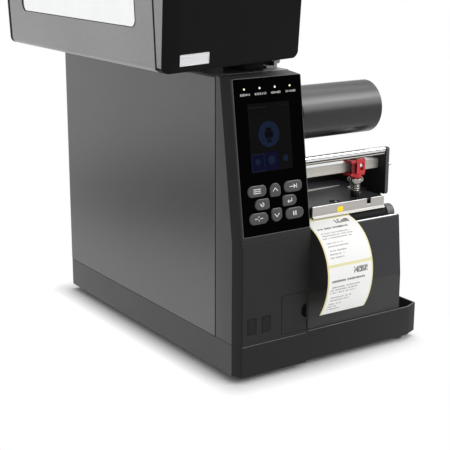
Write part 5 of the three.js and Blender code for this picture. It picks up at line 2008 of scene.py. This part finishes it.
@dataclass
class PrintMechanism:
    """Head frame, bars, printhead, lever and the red pressure unit."""

    patterns: Patterns
    bar_ends: Point2 = (94.6, 219.3)
    bar_radius: float = 3.3
    bar_axis: Point2 = (34.0, 214.8)
    groove: float = 0.35
    groove_places: Point2 = (7.8, 7.2)
    rail: Plate = Plate(Axis.X, (31.6, 36.4, 209.9, 211.9), bar_ends, 0.9, steps=6)
    # Thin black strips along the rail and the bar, painted as the dark lines of shade and
    # reflection along them.
    rail_shade_lines: tuple[Sides, ...] = (
        (30.9, 32.0, 211.6, 212.3), (31.5, 32.6, 209.5, 210.1), (34.9, 35.8, 217.3, 218.05),
        (30.7, 31.7, 215.4, 216.3))
    shelf: Sides = (172.0, 191.5, 33.0, 47.5)
    front_plate: Plate = Plate(Axis.Y, (179.4, 191.5, 190.6, 208.2), (32.4, 35.4),
                               (1.2, 2.2, 1.0, 0.4), (183.9, 189.2, 195.2, 203.2, 0.8))
    side_plate: Plate = Plate(Axis.Y, (174.0, 179.8, 190.6, 207.0), (34.2, 36.0),
                              (1.2, 0.3, 0.3, 1.0), finish=1)
    inner_plate: Plate = Plate(Axis.Y, (181.0, 190.8, 192.4, 204.0), (35.2, 37.2))
    collar: Turned = Turned(Axis.Z, STEM_AXIS, (
        (187.1, 0.0), (187.1, 6.1), (187.5, 6.5), (190.8, 6.5), (190.8, 0.0)), 48)
    top_shelf: Plate = Plate(Axis.Z, shelf, (204.0, 207.0), 0.8,
                             (174.6, 185.4, 35.0, 41.0, 1.0))
    low_shelf: Plate = Plate(Axis.Z, shelf, (189.4, 192.1), 0.8)
    right_plate: Plate = Plate(Axis.X, (33.0, 41.7, 189.4, 207.0), (188.6, 191.5), 0.5)
    lip_plate: Plate = Plate(Axis.Y, (179.4, 183.2, 192.0, 205.4), (32.0, 34.0), 0.5)
    foot: Turned = Turned(Axis.Z, STEM_AXIS, (
        (165.7, 0.0), (165.7, 4.5), (166.2, 4.9), (170.4, 5.4), (171.6, 5.6), (172.0, 5.2),
        (172.0, 2.5), (186.3, 2.5), (186.7, 2.1), (186.7, 0.0)), 64)
    nut: Turned = Turned(Axis.Z, STEM_AXIS, (
        (180.9, 2.9), (180.9, 6.3), (181.3, 6.7), (183.0, 6.9), (183.0, 8.0), (183.4, 8.4),
        (186.0, 8.4), (186.4, 8.0), (186.4, 5.6), (185.4, 5.2), (185.4, 2.9)), 64, True)
    lugs: int = 10
    lug_ring: Point2 = (7.9, 184.85)
    lug: Point3 = (0.0018, 0.0028, 0.0035)
    coil_turns: float = 4.0
    coil: Point3 = (0.0051, 0.0078, 0.0006)
    coil_foot: float = 172.5
    unit_screw: Point3 = (186.5, 35.2, 200.4)
    yellow_mark: Plate = Plate(Axis.Y, (143.4, 151.3, 155.9, 161.7), (20.22, 20.36), 0.3,
                               steps=3)
    # A pale tapered strip on the head's top, painted as the band of sheen on the bracket behind.
    sheen_strip: Outline = ((97.0, 76.2), (200.0, 86.0), (200.0, 88.0), (97.0, 88.0))
    sheen_strip_ends: Point2 = (165.2, 165.9)
    skirt: Plate = Plate(Axis.X, (38.0, 118.8, 159.0, 166.4), (219.6, 221.2), 0.6)
    skirt_top: Plate = Plate(Axis.X, (31.2, 118.8, 164.0, 166.4), (219.7, 224.5),
                             (0.8, 0.8, 0.1, 0.1))
    pin: Turned = Turned(Axis.X, (33.5, 198.0), (
        (224.6, 0.0), (224.6, 2.15), (229.3, 2.15), (229.6, 1.85), (229.6, 0.0)), 32)
    # A black ring in the head's hole, painted as the shade inside it.
    hole_shade: Turned = Turned(Axis.Z, (147.0, 30.0), (
        (164.6, 0.0), (164.6, 5.9), (165.6, 5.9), (165.9, 5.5), (165.7, 4.5), (164.9, 3.4),
        (164.9, 0.0)), 48)
    hole_pin: Turned = Turned(Axis.Z, (148.6, 29.6), (
        (164.8, 0.0), (164.8, 1.7), (165.4, 1.7), (165.6, 1.4), (165.6, 0.0)), 24, finish=1)
    head_top: float = 165.4
    head_screws: Outline = ((112.0, 48.0), (196.0, 48.0), (103.0, 72.0), (203.0, 72.0))

    def build(self) -> None:
        """Builds and dresses every piece of the mechanism."""
        dressed("head_frame", BLACK_STEEL)
        # The end plate's front faces get the painted lit copy.
        dressed("head_end_plate", [BLACK_STEEL, LIT_EDGE_STEEL], 0.5, 3, [(FRONTWARD, 1, 0.99)])
        # The pressure bar's top gets the painted highlight.
        dressed("pressure_bar", [BAR_STEEL, BAR_LIT_TOP], 0.8, 3, [(UP, 1, 0.99)])
        dressed("head_lever", BEZEL_PLASTIC, 0.8, 3)
        dressed("print_head", HEAD_STEEL, 0.5)
        # The front plate's top gets the painted highlight, its lip and underside the painted
        # shade.
        dressed("head_front_plate", [PLATE_STEEL, BAR_LIT_TOP, LIP_SHADED_STEEL], 0.45, 4,
                [(UP, 1, 0.99), (Vector((0, -0.6, 0.8)), 2, 0.95), (-UP, 2, 0.99)])
        self._guide_bar()
        self._pressure_unit()
        self._head_trim()

    def _guide_bar(self) -> None:
        """Turns the bright bar with its groove, lays the rail and black strips painted as shade
        lines.
        """
        r, (left, right) = self.bar_radius, self.bar_ends
        first, last = self.groove_places
        Form().lathe(Axis.X, self.bar_axis, [
            (left, 0.0), (left, r - 0.4), (left + 0.4, r), (right - first - 0.2, r),
            (right - first, r - self.groove), (right - last, r - self.groove),
            (right - last + 0.2, r), (right - 0.4, r), (right, r - 0.4), (right, 0.0)],
            64).piece("guide_bar_turned", BRIGHT_BAR, "head", replaces=["guide_bar"])
        Form().draw(self.rail, *(Plate(Axis.X, joint, self.bar_ends, finish=1)
                                 for joint in self.rail_shade_lines)).piece(
            "guide_rail", [RAIL_STEEL, BLACK_STEEL], "head", 0.1)

    def _pressure_unit(self) -> None:
        """Moulds the red unit, turns its foot and nut, winds its spring, sets its screw."""
        Form().draw(self.front_plate, self.side_plate, self.inner_plate, self.collar,
                    self.top_shelf, self.low_shelf, self.right_plate, self.lip_plate).piece(
            "pressure_unit_moulded", [RED_PLASTIC, RED_SHADE], "pressure_unit", 0.35,
            replaces=["pressure_unit"])
        Form().draw(self.foot).piece("pressure_foot_turned", BLACK_PLASTIC, "pressure_unit",
                                     replaces=["pressure_foot"])
        Form().draw(self.nut).piece("adjusting_nut_turned", NUT_STEEL, "adjusting_nut",
                                    replaces=["adjusting_nut"])
        ring, height = self.lug_ring
        mesh = self.patterns.teeth.run({
            "Count": self.lugs, "Radius": ring * MILLI, "Tooth": self.lug,
            "Turn": (0.0, 0.0, 0.0), "Centre": machine(*STEM_AXIS, height),
            "Finish": NUT_STEEL.material()})
        settle("adjusting_nut_lugs", mesh, NUT_STEEL, "adjusting_nut", 0.25)
        radius, height, wire = self.coil
        mesh = self.patterns.coil.run({
            "Turns": self.coil_turns, "Radius": radius, "Height": height, "Wire": wire,
            "Foot": machine(*STEM_AXIS, self.coil_foot), "Finish": NUT_STEEL.material()})
        settle("pressure_spring_coil", mesh, NUT_STEEL, "pressure_unit",
               replaces=["pressure_spring"])
        self.patterns.repeats.lay("pressure_unit_screw", screw_head(2.1, 2.2),
                                  [(machine(*self.unit_screw), FRONTWARD)], POLISHED,
                                  "pressure_unit")

    def _head_trim(self) -> None:
        """Adds the yellow mark, a painted sheen strip, skirt, pin, painted hole shade and screws.
        """
        Form().draw(self.yellow_mark).piece("head_yellow_mark", YELLOW_MARK, "head")
        Form().prism(Axis.Z, self.sheen_strip, *self.sheen_strip_ends).piece(
            "head_stiffener", SHEEN_STRIP_STEEL, "head", 0.2)
        Form().draw(self.skirt, self.skirt_top).piece("end_plate_skirt", BLACK_STEEL, "head",
                                                      0.2)
        Form().draw(self.pin).piece("end_plate_pin", STEEL, "head")
        Form().draw(self.hole_shade, self.hole_pin).piece(
            "head_hole_liner", [CAP_SHADE, STEEL], "head")
        self.patterns.repeats.lay(
            "head_screws", screw_head(2.6, 1.6),
            [(machine(x, y, self.head_top), UP) for x, y in self.head_screws], STEEL, "head")


@dataclass
class Ribbon:
    """Two ribbon spindles, the front one with its roll."""

    bodies: tuple[str, ...] = ("ribbon_front", "ribbon_rear")
    rear_axis: Point2 = (200.0, 261.5)
    spindle: Outline = (
        (80.0, 0.0), (80.0, 4.6), (80.4, 5.0), (99.0, 5.0), (99.0, 21.4), (99.6, 22.0),
        (102.4, 22.0), (103.0, 21.4), (103.0, 12.5), (212.5, 12.5), (213.5, 11.7),
        (213.5, 9.6), (207.0, 8.8), (207.0, 0.0))
    ribs: int = 3
    rib_out: float = 10.6
    rib: Outline = ((103.0, 0.0), (103.0, 1.6), (213.2, 1.6), (213.2, 0.0))
    film_left: float = 103.6
    film_radius: float = 29.0
    film_inset: float = 2.0
    core_ends: Point2 = (112.0, 215.0)
    core_radius: float = 12.9
    core_walls: Point2 = (1.6, 1.9)

    def build(self) -> None:
        """Turns the spindles and winds the roll."""
        for body, axis in zip(self.bodies, (RIBBON_AXIS, self.rear_axis)):
            form = Form().lathe(Axis.X, axis, self.spindle)
            for spot in circle(*axis, self.rib_out, self.ribs):
                form.lathe(Axis.X, spot, self.rib, 16)
            form.piece(f"{body}_spindle_turned", BLACK_PLASTIC, body, bend=40.0,
                       replaces=[f"{body}_spindle"])
        self._roll()

    def _roll(self) -> None:
        """Winds the ribbon on its core."""
        (left, right), core, radius = self.core_ends, self.core_radius, self.film_radius
        first, last = self.film_left, right - self.film_inset
        thin, thick = self.core_walls
        form = Form().lathe(Axis.X, RIBBON_AXIS, [
            (first, core + 2.0), (first, radius - 0.4), (first + 0.5, radius),
            (last - 0.5, radius), (last, radius - 0.4), (last, core + 2.0)], 128, True)
        form.lathe(Axis.X, RIBBON_AXIS, [
            (left, core), (left, core + thin), (left + 0.4, core + thick),
            (right - 0.4, core + thick), (right, core + thin), (right, core)], 96, True,
            finish=1)
        form.piece("ribbon_roll_wound", [RIBBON_FILM, CORE_CARD], "ribbon_front",
                   replaces=["ribbon_roll"])


@dataclass
class MediaCover:
    """Painted cover with its window, caps, hinge and badge, in the sizes of the closed one."""

    patterns: Patterns
    window: Sides = (75.0, 342.0, 130.0, 271.0)
    window_round: float = 8.0
    outer: float = 250.0
    gasket_width: float = 2.4
    gasket_overlap: float = 0.2
    gasket_inset: Point2 = (0.6, 1.6)
    gasket_heights: Point2 = (0.01, 0.35)
    seam: Sides = (37.6, 40.6, 46.0, 309.0)
    seam_heights: Point2 = (-0.6, 0.12)
    badge: Sides = (200.6, 233.7, 152.4, 163.6)
    badge_rim: float = 0.7
    hinge_screws: int = 7
    hinge_pitch: float = 44.5
    hinge_first: Point3 = (80.0, 82.0, 314.3)

    def build(self) -> None:
        """Builds and dresses every piece of the cover."""
        dressed("cover_shell", COVER_PAINT, 0.35)
        dressed("cover_window", WINDOW, 0.0)
        # The cap's chamfer gets painted shade, and its left side the cover's pale paint, which
        # stands for the reflection seen there.
        dressed("cover_front_cap", [CAP_PLASTIC, CAP_SHADE, COVER_PAINT], 0.7, 3,
                [(Vector((-0.4, -0.916, 0.0175)), 1, 0.99),
                 (Vector((-1.0, 0.0, -0.044)), 2, 0.985)])
        dressed("cover_rear_cap", CAP_PLASTIC, 0.5)
        for leaf in ("hinge_fixed_leaf", "hinge_moving_leaf"):
            dressed(leaf, HINGE_STEEL, 0.2)
        dressed("stop_block", RUBBER, 1.5, 3)
        self._gasket()
        low, high = (self.outer + height for height in self.seam_heights)
        Form(opened).prism(Axis.X, slab(*self.seam), low, high).piece(
            "cover_seam", GASKET, "cover")
        self._badge()
        x, y, z = self.hinge_first
        spots = [(machine(x, y + self.hinge_pitch * i, z), UP)
                 for i in range(self.hinge_screws)]
        self.patterns.repeats.lay("hinge_screws", screw_head(2.2, 0.9), spots, HINGE_STEEL,
                                  "base")

    def _gasket(self) -> None:
        """Lays the black gasket round the window."""
        front, rear, low, high = self.window
        w, r, lap = self.gasket_width, self.window_round, self.gasket_overlap
        near, far = self.gasket_inset
        ring = slab(front - lap, rear + w, low - w, high + lap, r)
        hole = slab(front + near, rear - far, low + near, high - near, r)
        bottom, top = (self.outer + height for height in self.gasket_heights)
        Form(opened).prism(Axis.X, ring, bottom, top, [hole]).piece(
            "window_gasket", GASKET, "cover", 0.1)

    def _badge(self) -> None:
        """Sets a bare plate with a turned rim on the cover's front."""
        left, right, low, high = self.badge
        rim = self.badge_rim
        plate = slab(*self.badge, 0.8, 4)
        hole = slab(left + rim, right - rim, low + rim, high - rim, 0.4, 4)
        Form(on_cap).prism(Axis.Z, plate, -0.2, 0.35).prism(
            Axis.Z, plate, 0.3, 0.6, [hole]).piece("cover_badge", BADGE, "cover", 0.1)


def main() -> None:
    """Builds the studio and every sub-assembly in order."""
    logging.basicConfig(level=logging.INFO, format="%(message)s")
    patterns = Patterns()
    for part in (Studio(), Base(patterns), Housing(), Column(patterns), MediaSide(patterns),
                 PrintMechanism(patterns), Ribbon(), MediaCover(patterns)):
        part.build()
        log.info("built %s", type(part).__name__)


if __name__ == "__main__":
    main()
